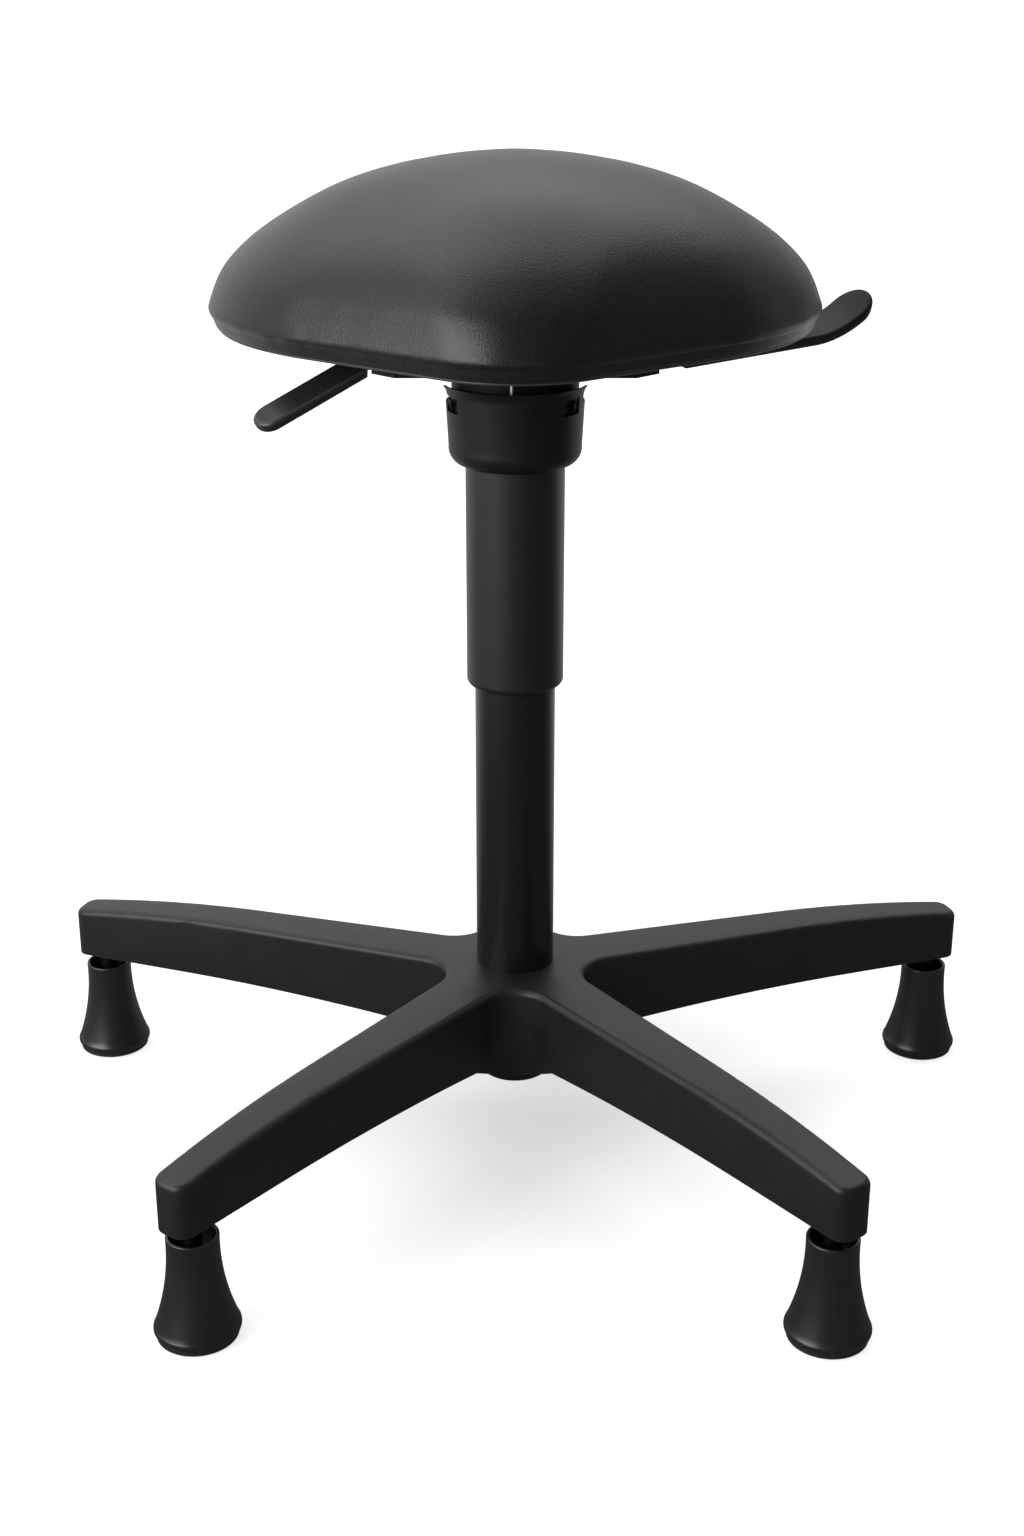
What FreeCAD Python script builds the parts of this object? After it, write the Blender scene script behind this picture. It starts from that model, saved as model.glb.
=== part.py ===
import FreeCAD, Part
import math
import os

V = FreeCAD.Vector
os.makedirs("parts", exist_ok=True)

# Sit-stand stool. Millimetres, +Z up, origin on the floor under the middle of the column.
# -Y is the front, where the nose of the seat points.

# General clearances
fit_gap = 0.05        # pressed or seated pieces of one body
run_gap = 0.06        # a shaft turning or sliding in its bore
free_gap = 0.3        # neighbours that only pass each other
overrun = 1.0         # how far a cutting tool runs past the face it opens

# Feet
foot_height = 66.5
foot_top_radius = 15.2
foot_waist_radius = 18.0
foot_waist_share = 0.47
foot_max_radius = 25.0
foot_skirt_radius = foot_max_radius - 0.8
foot_max_z = 8.0
foot_lip_round = 1.2
foot_cup_wall = 1.9
foot_cup_depth = 13.0
foot_stem_hold = 20.0
sole_thickness = 4.0
sole_radius = foot_max_radius - 1.6
sole_floor_radius = sole_radius - 2.4
sole_peg_radius = 8.0
sole_peg_height = 4.0
stem_radius = 5.5
stem_grip = 21.0
stem_neck_radius = stem_radius - 0.9
grip_ring_height = 6.0
grip_ring_top_gap = 3.0
grip_ring_split_deg = 40.0

# Five-arm base, standing on the feet
arm_count = 5
arm_start_deg = 89.6
arm_reach = 322.0
arm_tip_width = 24.5
arm_root_width = 40.0
arm_tip_corner = 9.0
arm_tip_bulge = 1.6
arm_edge_round = 4.5
foot_inset = 18.5
foot_circle_radius = arm_reach - foot_inset
foot_arm_gap = 8.3
arm_under_tip_z = foot_height + foot_arm_gap
arm_depth = 41.7
hub_top_z = arm_under_tip_z + arm_depth
hub_radius = 44.0
hub_notch_round = 22.0
hub_depth = 63.5
hub_under_z = hub_top_z - hub_depth
arm_flat_radius = 190.0
arm_tip_drop = 9.0
arm_under_flat_radius = 240.0
arm_under_root_radius = 70.0
arm_under_root_drop = 8.3
base_wall = 3.6
base_roof = 4.2
base_rib = 2.6
rib_bays = 4
rib_lift = 3.0
hub_socket_wall = 6.0
hub_socket_depth = 66.0
hub_socket_under_z = hub_top_z - hub_socket_depth
ejector_post_radius = 2.4
ejector_post_drop = 3.6
ejector_post_inset = 12.4

# Stand tube and what runs in it
tube_radius = 25.0
tube_wall = 2.0
tube_toe_depth = 81.0
tube_bottom_z = hub_top_z - tube_toe_depth
tube_length = 343.5
tube_top_z = tube_bottom_z + tube_length
tube_toe_radius = tube_radius - 1.6
tube_toe_round = 3.5
tube_plate = 4.0
bushing_length = 72.0
bushing_collar = 2.5
bushing_collar_lip = 1.0
bushing_groove_depth = 1.4
bushing_rib_height = 8.0
bushing_groove_count = 4

# Gas spring: thrust bearing, rod and piston
rod_radius = 5.0
rod_tail_radius = rod_radius - 1.0
rod_tail_length = 9.5
rod_tail_z = tube_bottom_z - rod_tail_length
rod_nose_radius = rod_radius - 1.5
rod_groove_depth = 1.0
race_thickness = 1.5
race_radius = 12.0
ball_radius = 1.6
ball_count = 10
ball_circle_radius = 8.6
cage_thickness = 1.2
buffer_height = 7.0
buffer_radius = 15.0
washer_thickness = 2.0
washer_radius = 9.0
clip_thickness = 1.4
clip_radius = 7.5
clip_split_deg = 60.0
lift_up = 60.0
piston_height = 12.0
piston_margin = 3.0
piston_ring_height = 3.0
piston_ring_depth = 1.2
piston_nut_height = 4.0
piston_nut_radius = 7.0

# Cover sleeve and cap, hung over the stand tube
sleeve_stand_off = 5.0
sleeve_radius = tube_radius + sleeve_stand_off
sleeve_wall = 2.0
sleeve_overlap = 71.7
sleeve_bottom_z = tube_top_z - sleeve_overlap
sleeve_length = 149.0
sleeve_top_z = sleeve_bottom_z + sleeve_length
sleeve_toe_round = 5.0
sleeve_toe_gap = 0.7
sleeve_toe_height = 3.0
sleeve_flange_width = 2.4
sleeve_flange_height = 2.5
sleeve_flange_drop = 6.0
sleeve_flange_z = sleeve_top_z - sleeve_flange_drop
cap_overlap = 10.0
cap_bottom_z = sleeve_top_z - cap_overlap
cap_bottom_radius = sleeve_radius + 1.5
cap_shoulder_width = 8.5
cap_shoulder_radius = cap_bottom_radius + cap_shoulder_width
cap_shoulder_height = 11.5
cap_taper = 2.0
cap_rim_radius = cap_shoulder_radius + cap_taper
cap_height = 48.8
cap_rim_z = cap_bottom_z + cap_height
cap_wall = 1.8
cap_lip_flare = 2.2
cap_lip_height = 7.0
cap_turn_deg = -5.8
window_turn_deg = 59.7
window_width = 15.4
window_drop = 15.3
window_low_z = cap_rim_z - window_drop
window_height = 9.5
horn_cut_front_y = -11.0
horn_cut_back_y = 25.0
horn_cut_depth = 11.0

# Mechanism tray with the boss that the cap grips
tray_half_width = 83.0
tray_front_y = -45.0
tray_back_y = 75.0
tray_cap_gap = 10.2
tray_low_z = cap_rim_z + tray_cap_gap
tray_plate = 3.0
tray_flange_height = 8.0
tray_corner = 14.0
boss_cap_gap = 2.3
boss_radius = cap_rim_radius - cap_wall - boss_cap_gap
boss_wall = 3.0
boss_depth = 43.0
boss_low_z = tray_low_z - boss_depth
boss_floor = 3.0
boss_flare = 6.0
tab_height = 6.0
tab_width = 4.4
tab_turn_deg = 7.5
tab_proud = 2.6

# Pressure cylinder and the taper bush that grips its cone
cylinder_radius = 14.0
cylinder_wall = 1.5
cylinder_rise = 94.5
cylinder_bottom_z = tube_bottom_z + cylinder_rise
cylinder_lip = 2.0
cylinder_plug = 18.0
guide_height = 15.0
seal_height = 4.0
cone_top_radius = cylinder_radius - 0.8
bush_wall = 3.5
bush_radius = cylinder_radius + bush_wall
bush_flange = 3.0
bush_flange_radius = bush_radius + 1.5 * bush_flange
bush_drop = 4.5
bush_low_z = boss_low_z - bush_drop
bush_length = 35.5
bush_top_z = bush_low_z + bush_length
cone_proud = 2.7
cone_top_z = bush_top_z + cone_proud
cone_length = 44.0
cone_start_z = cone_top_z - cone_length
button_radius = 4.0
button_proud = 7.0
button_travel = 2.1
button_hold = 8.0
locating_pin_radius = 1.25
locating_pin_proud = 6.7
locating_pin_top_z = cap_rim_z + locating_pin_proud
locating_pin_length = 11.5
locating_pin_low_z = locating_pin_top_z - locating_pin_length
locating_pin_x = -2.0
locating_pin_out = 0.4

# Seat tilt
tilt_y = -35.0
tilt_rise = 10.0
tilt_z = tray_low_z + tilt_rise
tilt_pin_radius = 3.5
tilt_pin_head_radius = 6.0
tilt_pin_head = 2.0
tray_ear_x = 36.0
ear_thickness = 3.0
ear_round = 6.0
seat_ear_round = 5.5
tilt_forward_deg = 12.0

# Height lever
lever_pin_x = -24.0
lever_pin_rise = 7.6
lever_pin_z = tray_low_z + lever_pin_rise
lever_pin_radius = 2.5
lever_barrel_radius = 4.4
lever_bar_width = 20.0
lever_bar_thickness = 3.0
lever_bar_drop = 2.8
lever_bar_z = lever_pin_z - lever_bar_drop
lever_nose_radius = 3.0
lever_ear_gap = 0.5
lever_slot_margin = 4.0
button_gap = 0.2

# Tilt lock: spindle, friction discs and plates
spindle_y = 8.0
spindle_rise = 9.5
spindle_z = tray_low_z + spindle_rise
spindle_radius = 3.5
spindle_inner_x = 14.5
spindle_grip = 9.0
spindle_hub_radius = 6.8
spindle_hub_length = 15.0
disc_thickness = 1.6
disc_radius = 8.5
disc_count = 3
lock_plate_thickness = 1.8
lock_plate_width = 15.0
lock_face_gap = 0.12
lock_stack_x = 20.2
lock_nut_height = 4.0
lock_nut_radius = 6.5
lock_ear_x = 36.6
lock_ear_width = 16.0
cam_length = 7.0
cam_radius = 6.2
cam_ramp = 1.6
spindle_collar_radius = 5.6
spindle_collar_length = 3.0

# Lever paddles: heading is the turn about Z, slope the climb of the tip, roll the turn about the length
left_root_out = 5.3
left_root_rise = 1.0
left_root = (-tray_half_width - left_root_out, -free_gap, tray_low_z + left_root_rise)
left_heading_deg = 190.2
left_slope_deg = -28.3
left_roll_deg = -20.4
left_length = 74.9
left_width = 22.5
left_flat = 62.3
left_bend_radius = 50.0
right_root_out = 12.0
right_root_back = 4.0
right_root_drop = 8.0
right_root = (tray_half_width + right_root_out, spindle_y + right_root_back, spindle_z - right_root_drop)
right_heading_deg = 40.2
right_slope_deg = 1.0
right_roll_deg = 12.6
right_length = 165.8
right_width = 27.0
right_flat = 112.8
right_bend_radius = 77.0
paddle_thickness = 7.0
paddle_edge_round = 2.5
paddle_root_width = 22.0
paddle_back_bulge = 1.5
bar_grip = 26.0

# Seat plate, board and fasteners
plate_half_width = 76.0
plate_front_y = -56.0
plate_back_y = 92.0
plate_corner = 18.0
plate_pin_rise = 9.0
plate_low_z = tilt_z + plate_pin_rise
plate_thickness = 2.5
bead_height = 1.6
bead_width = 6.0
bead_x = 50.5
bolt_x = 62.0
bolt_front_y = -26.0
bolt_back_y = 62.0
bolt_radius = 3.0
bolt_head_radius = 5.6
bolt_head = 4.0
bolt_flange_radius = 7.5
bolt_flange = 1.2
nut_barrel_radius = 4.2
nut_flange_radius = 9.0
nut_flange = 1.5
board_thickness = 12.0
board_inset = 12.0
board_lift = 0.2

# Seat outline: nose circle, straight cheeks, hip arcs, rear corners and a shallow back
nose_radius = 65.0
nose_centre_y = -82.0
hip_radius = 182.5
hip_centre_x = 7.0
hip_centre_y = 75.0
corner_radius = 55.0
back_bow = 10.0
back_y = hip_centre_y + corner_radius + back_bow
seat_scale_y = 5.0
skirt_drop = 3.8
seat_rim_z = plate_low_z - skirt_drop
rim_inset = 5.0
rim_crease_rise = 6.7
rim_crease_z = seat_rim_z + rim_crease_rise
rim_crease_inset = 1.8
seat_wide_rise = 10.5
seat_wide_z = seat_rim_z + seat_wide_rise
crown_height = 96.0
seat_top_z = seat_wide_z + crown_height
rim_trim_thickness = 1.8
rim_trim_width = 9.0
rim_trim_inset = 3.0
# Heights of the seat's level curves as shares of the crown, their sizes as shares of the outline,
# and their nose rounding as shares of the nose radius
crown_height_shares = (0.0, 0.2, 0.4, 0.6, 0.8, 0.92, 0.98, 1.0)
crown_size_shares = (1.0, 0.96, 0.863, 0.715, 0.52, 0.323, 0.158, 0.062)
crown_nose_shares = (1.0, 1.1, 1.3, 1.6, 1.9, 2.0, 2.0, 2.0)


def save(node, shape):
    """Write one node's solids."""
    if shape.ShapeType != "Compound" and len(shape.Solids) == 1:
        shape = shape.Solids[0]
    shape.exportStep("parts/" + node + ".step")


def group(shapes):
    """Several separate solids as one node."""
    return Part.makeCompound([solid for shape in shapes for solid in shape.Solids])


def rod(radius, low, high, x=0.0, y=0.0):
    """Upright cylinder between two heights."""
    return Part.makeCylinder(radius, high - low, V(x, y, low))


def ring(inner, outer, low, high, x=0.0, y=0.0):
    """Upright tube between two heights."""
    return rod(outer, low, high, x, y).cut(rod(inner, low - overrun, high + overrun, x, y))


def cross_rod(radius, low_x, high_x, y, z):
    """Cylinder along X."""
    return Part.makeCylinder(radius, high_x - low_x, V(low_x, y, z), V(1, 0, 0))


def block(x0, x1, y0, y1, z0, z1):
    """Box between two corners."""
    return Part.makeBox(x1 - x0, y1 - y0, z1 - z0, V(x0, y0, z0))


def turned(shape, degrees):
    """Copy turned about the column's axis."""
    copy = shape.copy()
    copy.rotate(V(0, 0, 0), V(0, 0, 1), degrees)
    return copy


def moved(shape, x=0.0, y=0.0, z=0.0):
    """Copy shifted by a vector."""
    copy = shape.copy()
    copy.translate(V(x, y, z))
    return copy


def mirrored(shape):
    """Copy on the other side of the plane x = 0."""
    return shape.mirror(V(0, 0, 0), V(1, 0, 0))


def lathe(edges):
    """Solid turned about Z from a closed chain of edges in the XZ plane."""
    return Part.Face(Part.Wire(edges)).revolve(V(0, 0, 0), V(0, 0, 1), 360)


def line(p, q):
    """Edge between two (radius, height) points."""
    return Part.LineSegment(V(p[0], 0, p[1]), V(q[0], 0, q[1])).toShape()


def arc(p, through, q):
    """Circular edge through three (radius, height) points."""
    return Part.Arc(V(p[0], 0, p[1]), V(through[0], 0, through[1]), V(q[0], 0, q[1])).toShape()


def quarter(centre, radius, start_deg, end_deg):
    """Circular edge about a (radius, height) centre between two angles."""
    angles = (start_deg, (start_deg + end_deg) / 2, end_deg)
    return arc(*[(centre[0] + radius * math.cos(math.radians(a)),
                  centre[1] + radius * math.sin(math.radians(a))) for a in angles])


def polygon(points):
    """Lathe profile with straight sides."""
    return [line(p, q) for p, q in zip(points, points[1:] + points[:1])]


def arm_angles():
    """Headings of the five arms in degrees."""
    return [arm_start_deg + index * 360 / arm_count for index in range(arm_count)]


def arm_half_width(radius):
    """Half the arm's width at a distance from the axis."""
    share = (radius - hub_radius) / (arm_reach - hub_radius)
    return (arm_root_width + share * (arm_tip_width - arm_root_width)) / 2


def arm_plan(inset, reach, low, high, start=0.0):
    """Tapered arm along +X as an upright prism, its end slightly bowed out."""
    half_tip, half_root = arm_half_width(reach) - inset, arm_half_width(start) - inset
    tip = Part.Arc(V(reach - arm_tip_bulge, -half_tip, low), V(reach, 0, low),
                   V(reach - arm_tip_bulge, half_tip, low)).toShape()
    corners = [V(reach - arm_tip_bulge, half_tip, low), V(start, half_root, low),
               V(start, -half_root, low), V(reach - arm_tip_bulge, -half_tip, low)]
    sides = [Part.LineSegment(p, q).toShape() for p, q in zip(corners, corners[1:])]
    return Part.Face(Part.Wire([tip] + sides)).extrude(V(0, 0, high - low))


def upright_edges(shape, low_radius, high_radius):
    """Vertical edges whose distance from the axis is within a band."""
    found = []
    for edge in shape.Edges:
        ends = [v.Point for v in edge.Vertexes]
        if len(ends) != 2 or math.hypot(ends[0].x - ends[1].x, ends[0].y - ends[1].y) > fit_gap:
            continue
        if low_radius < math.hypot(ends[0].x, ends[0].y) < high_radius:
            found.append(edge)
    return found


def arm_top_height(radius):
    """Height of the arm's upper face past its flat part, where it falls in an arc to the tip."""
    run = arm_reach - arm_flat_radius
    bend = (run ** 2 + arm_tip_drop ** 2) / (2 * arm_tip_drop)
    return hub_top_z - bend + math.sqrt(bend ** 2 - (radius - arm_flat_radius) ** 2)


def arm_top(drop=0.0):
    """Profile of the base's upper face: flat from the hub, then falling to the tips."""
    far = arm_reach + arm_tip_corner
    middle = (arm_flat_radius + far) / 2
    flat_end = (arm_flat_radius, hub_top_z - drop)
    return flat_end, (middle, arm_top_height(middle) - drop), (far, arm_top_height(far) - drop)


def arm_underside_height(radius):
    """Height of the arm's lower edge: level near the foot, sinking in an arc towards the hub."""
    run = arm_under_flat_radius - arm_under_root_radius
    bend = (run ** 2 + arm_under_root_drop ** 2) / (2 * arm_under_root_drop)
    return arm_under_tip_z - bend + math.sqrt(bend ** 2 - (arm_under_flat_radius - radius) ** 2)


def base_envelope():
    """Turned dish that gives every arm its side view."""
    flat_end, top_middle, top_far = arm_top()
    far = top_far[0]
    root = (arm_under_root_radius, arm_underside_height(arm_under_root_radius))
    middle = (arm_under_flat_radius + arm_under_root_radius) / 2
    level_start = (arm_under_flat_radius, arm_under_tip_z)
    return lathe([
        line((0, hub_top_z), flat_end),
        arc(flat_end, top_middle, top_far),
        line(top_far, (far, arm_under_tip_z)),
        line((far, arm_under_tip_z), level_start),
        arc(level_start, (middle, arm_underside_height(middle)), root),
        line(root, (hub_radius, hub_under_z)),
        line((hub_radius, hub_under_z), (0, hub_under_z)),
        line((0, hub_under_z), (0, hub_top_z))])


def base_hollow():
    """Turned dish under the roof of the arms, from which the pockets are taken."""
    flat_end, top_middle, top_far = arm_top(base_roof)
    far, floor = top_far[0], tube_bottom_z
    inner = tube_radius + hub_socket_wall
    return lathe([
        line((inner, flat_end[1]), flat_end),
        arc(flat_end, top_middle, top_far),
        line(top_far, (far, floor)),
        line((far, floor), (inner, floor)),
        line((inner, floor), (inner, flat_end[1]))])


def arm_ribs():
    """Zigzag ribs in the pocket of the arm along +X, and the socket for the foot's stem."""
    inner = tube_radius + hub_socket_wall
    boss_radius_here = stem_radius + base_wall
    far = foot_circle_radius - boss_radius_here
    pitch = (far - inner) / rib_bays
    ribs = []
    for bay in range(rib_bays):
        start, end = inner + bay * pitch, inner + (bay + 1) * pitch
        half_start, half_end = arm_half_width(start), arm_half_width(end)
        side = 1 if bay % 2 == 0 else -1
        for sign in (side, -side):
            run, rise = end - start, -sign * (half_start + half_end) + sign * 2 * base_wall
            length = math.hypot(run, rise)
            low = arm_underside_height(max(start, arm_under_root_radius)) + rib_lift
            rib = block(0, length, -base_rib / 2, base_rib / 2, low, hub_top_z)
            rib.rotate(V(0, 0, 0), V(0, 0, 1), math.degrees(math.atan2(rise, run)))
            ribs.append(moved(rib, start, sign * (half_start - base_wall), 0))
    socket = rod(boss_radius_here, arm_under_tip_z, hub_top_z, foot_circle_radius)
    web = block(foot_circle_radius, arm_reach - base_wall, -base_rib / 2, base_rib / 2,
                arm_under_tip_z + rib_lift, hub_top_z)
    ribs += [socket, web]
    return ribs


def tube_outline(offset):
    """Radius and height of the stand tube's tapered toe, moved in or out by an offset."""
    return [(tube_radius + offset, hub_top_z), (tube_toe_radius + offset, tube_bottom_z)]


def star_base():
    """Glass-filled nylon moulding with five hollow, ribbed arms."""
    low, high = tube_bottom_z, hub_top_z + overrun
    arm = arm_plan(0, arm_reach, low, high)
    arms = [turned(arm, angle) for angle in arm_angles()]
    plan = arms[0].fuse(arms[1:]).removeSplitter()
    notches = upright_edges(plan, tube_radius, hub_radius)
    plan = plan.makeFillet(hub_notch_round, notches)
    tips = upright_edges(plan, arm_reach - arm_tip_corner, arm_reach + arm_tip_corner)
    plan = plan.makeFillet(arm_tip_corner, tips)
    body = plan.common(base_envelope())
    rim = [e for e in body.Edges if edge_is_upper(e)]
    body = body.makeFillet(arm_edge_round, rim)
    pockets = []
    for angle in arm_angles():
        pocket = arm_plan(base_wall, arm_reach - base_wall, low, high, tube_radius)
        corners = upright_edges(pocket, arm_reach - base_wall - arm_tip_corner, arm_reach)
        pocket = pocket.makeFillet(arm_tip_corner - base_wall, corners).common(base_hollow())
        for rib in arm_ribs():
            pocket = pocket.cut(rib)
        pockets.append(turned(pocket, angle))
    for pocket in pockets:
        body = body.cut(pocket)
    body = body.fuse(rod(tube_radius + hub_socket_wall, hub_socket_under_z, hub_top_z - base_roof))
    post_radius = foot_circle_radius - ejector_post_inset
    post = rod(ejector_post_radius, arm_under_tip_z - ejector_post_drop,
               arm_top_height(post_radius) - base_roof / 2, post_radius)
    posts = [turned(post, angle) for angle in arm_angles()]
    body = body.fuse(posts)
    (top_radius, top_z), (toe_radius, toe_z) = tube_outline(fit_gap)
    bore = polygon([(0, toe_z), (toe_radius, toe_z), (top_radius, top_z),
                    (top_radius, top_z + overrun), (0, top_z + overrun)])
    body = body.cut(lathe(bore))
    socket = rod(stem_radius + fit_gap, tube_bottom_z, arm_under_tip_z + stem_grip + free_gap,
                 foot_circle_radius)
    for angle in arm_angles():
        body = body.cut(turned(socket, angle))
    return body.removeSplitter()


def edge_is_upper(edge):
    """True for the edges where the base's walls meet its upper face."""
    ends = [v.Point for v in edge.Vertexes]
    if len(ends) != 2:
        return False
    lowest = hub_top_z - arm_tip_drop - overrun
    middle = edge.valueAt((edge.FirstParameter + edge.LastParameter) / 2)
    near_axis = min(math.hypot(p.x, p.y) for p in ends) < tube_radius + hub_socket_wall
    upright = math.hypot(ends[0].x - ends[1].x, ends[0].y - ends[1].y) < fit_gap
    if near_axis or upright or middle.z < lowest:
        return False
    seam = abs(math.hypot(middle.x, middle.y) - arm_flat_radius) < fit_gap
    return not seam


def foot():
    """Bell-shaped nylon foot with a deep cup in its top."""
    waist_z = foot_height * foot_waist_share
    skirt_z = foot_max_z + foot_lip_round
    inner = foot_top_radius - foot_cup_wall
    cup_z = foot_height - foot_cup_depth
    bore, bore_z = stem_radius + fit_gap, cup_z - foot_stem_hold
    rim = foot_cup_wall / 2
    edges = [
        line((inner, cup_z), (inner, foot_height - rim)),
        arc((inner, foot_height - rim), (inner + rim, foot_height), (foot_top_radius, foot_height - rim)),
        arc((foot_top_radius, foot_height - rim), (foot_waist_radius, waist_z), (foot_skirt_radius, skirt_z)),
        arc((foot_skirt_radius, skirt_z), (foot_max_radius, (skirt_z + sole_thickness) / 2),
            (sole_radius, sole_thickness)),
        line((sole_radius, sole_thickness), (sole_peg_radius + fit_gap, sole_thickness)),
        line((sole_peg_radius + fit_gap, sole_thickness),
             (sole_peg_radius + fit_gap, sole_thickness + sole_peg_height + fit_gap)),
        line((sole_peg_radius + fit_gap, sole_thickness + sole_peg_height + fit_gap),
             (0, sole_thickness + sole_peg_height + fit_gap)),
        line((0, sole_thickness + sole_peg_height + fit_gap), (0, bore_z)),
        line((0, bore_z), (bore, bore_z)),
        line((bore, bore_z), (bore, cup_z)),
        line((bore, cup_z), (inner, cup_z))]
    return lathe(edges)


def sole():
    """Dark disc under the foot, held by a peg."""
    top = sole_thickness - fit_gap
    edge_z = sole_thickness / 3
    return lathe(polygon([
        (0, 0), (sole_floor_radius, 0), (sole_radius - fit_gap, edge_z), (sole_radius - fit_gap, top),
        (sole_peg_radius, top), (sole_peg_radius, top + sole_peg_height),
        (0, top + sole_peg_height)]))


def stem():
    """Steel stem between foot and arm, with a neck for the grip ring."""
    low = foot_height - foot_cup_depth - foot_stem_hold + fit_gap
    high = arm_under_tip_z + stem_grip
    neck_high = high - grip_ring_top_gap
    neck_low = neck_high - grip_ring_height
    body = rod(stem_radius, low, high)
    body = body.makeChamfer(overrun, [e for e in body.Edges if abs(e.CenterOfMass.z - high) < fit_gap])
    return body.cut(ring(stem_neck_radius, stem_radius + overrun, neck_low, neck_high))


def grip_ring():
    """Split spring ring in the stem's neck."""
    neck_high = arm_under_tip_z + stem_grip - grip_ring_top_gap
    low, high = neck_high - grip_ring_height + fit_gap, neck_high - fit_gap
    inner, outer = stem_neck_radius + fit_gap, stem_radius
    face = Part.Face(Part.Wire([Part.LineSegment(V(p[0], 0, p[1]), V(q[0], 0, q[1])).toShape()
                                for p, q in (((inner, low), (outer, low)), ((outer, low), (outer, high)),
                                             ((outer, high), (inner, high)), ((inner, high), (inner, low)))]))
    return face.revolve(V(0, 0, 0), V(0, 0, 1), 360 - grip_ring_split_deg)


def stand_tube():
    """Steel tube with a tapered toe pressed into the hub, closed by a bottom plate."""
    (top_radius, top_z), (toe_radius, toe_z) = tube_outline(0)
    inner_top, inner_toe = top_radius - tube_wall, toe_radius - tube_wall
    floor = toe_z + tube_plate
    share = tube_plate / (top_z - toe_z)
    inner_floor = inner_toe + share * (inner_top - inner_toe)
    corner = (toe_radius - tube_toe_round, toe_z + tube_toe_round)
    outer = [line((top_radius, tube_top_z), (top_radius, top_z)),
             line((top_radius, top_z), (toe_radius, toe_z + tube_toe_round)),
             quarter(corner, tube_toe_round, 0, -90),
             line((toe_radius - tube_toe_round, toe_z), (rod_tail_radius + free_gap, toe_z)),
             line((rod_tail_radius + free_gap, toe_z), (rod_tail_radius + free_gap, floor)),
             line((rod_tail_radius + free_gap, floor), (inner_floor, floor)),
             line((inner_floor, floor), (inner_top, top_z)),
             line((inner_top, top_z), (inner_top, tube_top_z)),
             line((inner_top, tube_top_z), (top_radius, tube_top_z))]
    return lathe(outer)


def guide_bushing():
    """Plastic bushing that guides the pressure cylinder, with a collar on the tube's mouth."""
    inner, outer = cylinder_radius + run_gap, tube_radius - tube_wall - fit_gap
    low, top = tube_top_z - bushing_length, tube_top_z
    body = ring(inner, outer, low, top)
    body = body.fuse(ring(inner, tube_radius - bushing_collar_lip, top + fit_gap, top + bushing_collar))
    body = body.fuse(ring(inner, outer - fit_gap, top - overrun, top + bushing_collar))
    pitch = bushing_length / (bushing_groove_count + 1)
    for index in range(bushing_groove_count):
        middle = low + (index + 1) * pitch
        half = (pitch - bushing_rib_height) / 2
        body = body.cut(ring(outer - bushing_groove_depth, outer + overrun, middle - half, middle + half))
    return body


bearing_low_z = tube_bottom_z + tube_plate + fit_gap
balls_low_z = bearing_low_z + race_thickness + fit_gap
upper_race_z = balls_low_z + 2 * ball_radius + free_gap
rod_shoulder_z = upper_race_z + race_thickness + fit_gap
guide_top_z = cylinder_bottom_z + cylinder_lip + guide_height
piston_z = guide_top_z + lift_up + piston_margin


def lower_race():
    """Race that lies on the tube's bottom plate."""
    return ring(rod_tail_radius + free_gap, race_radius, bearing_low_z, bearing_low_z + race_thickness)


def ball_cage():
    """Cage ring with its balls."""
    middle = balls_low_z + ball_radius
    inner, outer = rod_tail_radius + free_gap, race_radius
    cage = ring(inner, outer, middle - cage_thickness / 2, middle + cage_thickness / 2)
    balls = []
    for index in range(ball_count):
        angle = math.radians(index * 360 / ball_count)
        centre = V(ball_circle_radius * math.cos(angle), ball_circle_radius * math.sin(angle), middle)
        cage = cage.cut(Part.makeCylinder(ball_radius + fit_gap, cage_thickness * 2,
                                          centre - V(0, 0, cage_thickness)))
        balls.append(Part.makeSphere(ball_radius, centre))
    return group([cage] + balls)


def upper_race():
    """Race that turns with the rod."""
    return ring(rod_tail_radius + fit_gap, race_radius, upper_race_z, upper_race_z + race_thickness)


def piston_rod():
    """Ground rod, its tail through the tube's plate and its nose in the piston."""
    nose_top = piston_z + piston_height + piston_nut_height + fit_gap
    body = rod(rod_radius, rod_shoulder_z, piston_z)
    body = body.fuse(rod(rod_tail_radius, rod_tail_z, rod_shoulder_z))
    body = body.fuse(rod(rod_nose_radius, piston_z, nose_top)).removeSplitter()
    clip_z = tube_bottom_z - free_gap - washer_thickness - fit_gap
    groove = ring(rod_tail_radius - rod_groove_depth, rod_radius, clip_z - clip_thickness - 2 * fit_gap, clip_z)
    return body.cut(groove)


def rod_washer():
    """Washer under the tube's bottom plate."""
    top = tube_bottom_z - free_gap
    return ring(rod_tail_radius + fit_gap, washer_radius, top - washer_thickness, top)


def rod_clip():
    """Split spring clip in the groove of the rod's tail."""
    top = tube_bottom_z - free_gap - washer_thickness - 2 * fit_gap
    low = top - clip_thickness + fit_gap
    inner = rod_tail_radius - rod_groove_depth + fit_gap
    profile = polygon([(inner, low), (clip_radius, low), (clip_radius, top), (inner, top)])
    clip = Part.Face(Part.Wire(profile)).revolve(V(0, 0, 0), V(0, 0, 1), 360 - clip_split_deg)
    return turned(clip, 90 + clip_split_deg / 2)


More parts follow.
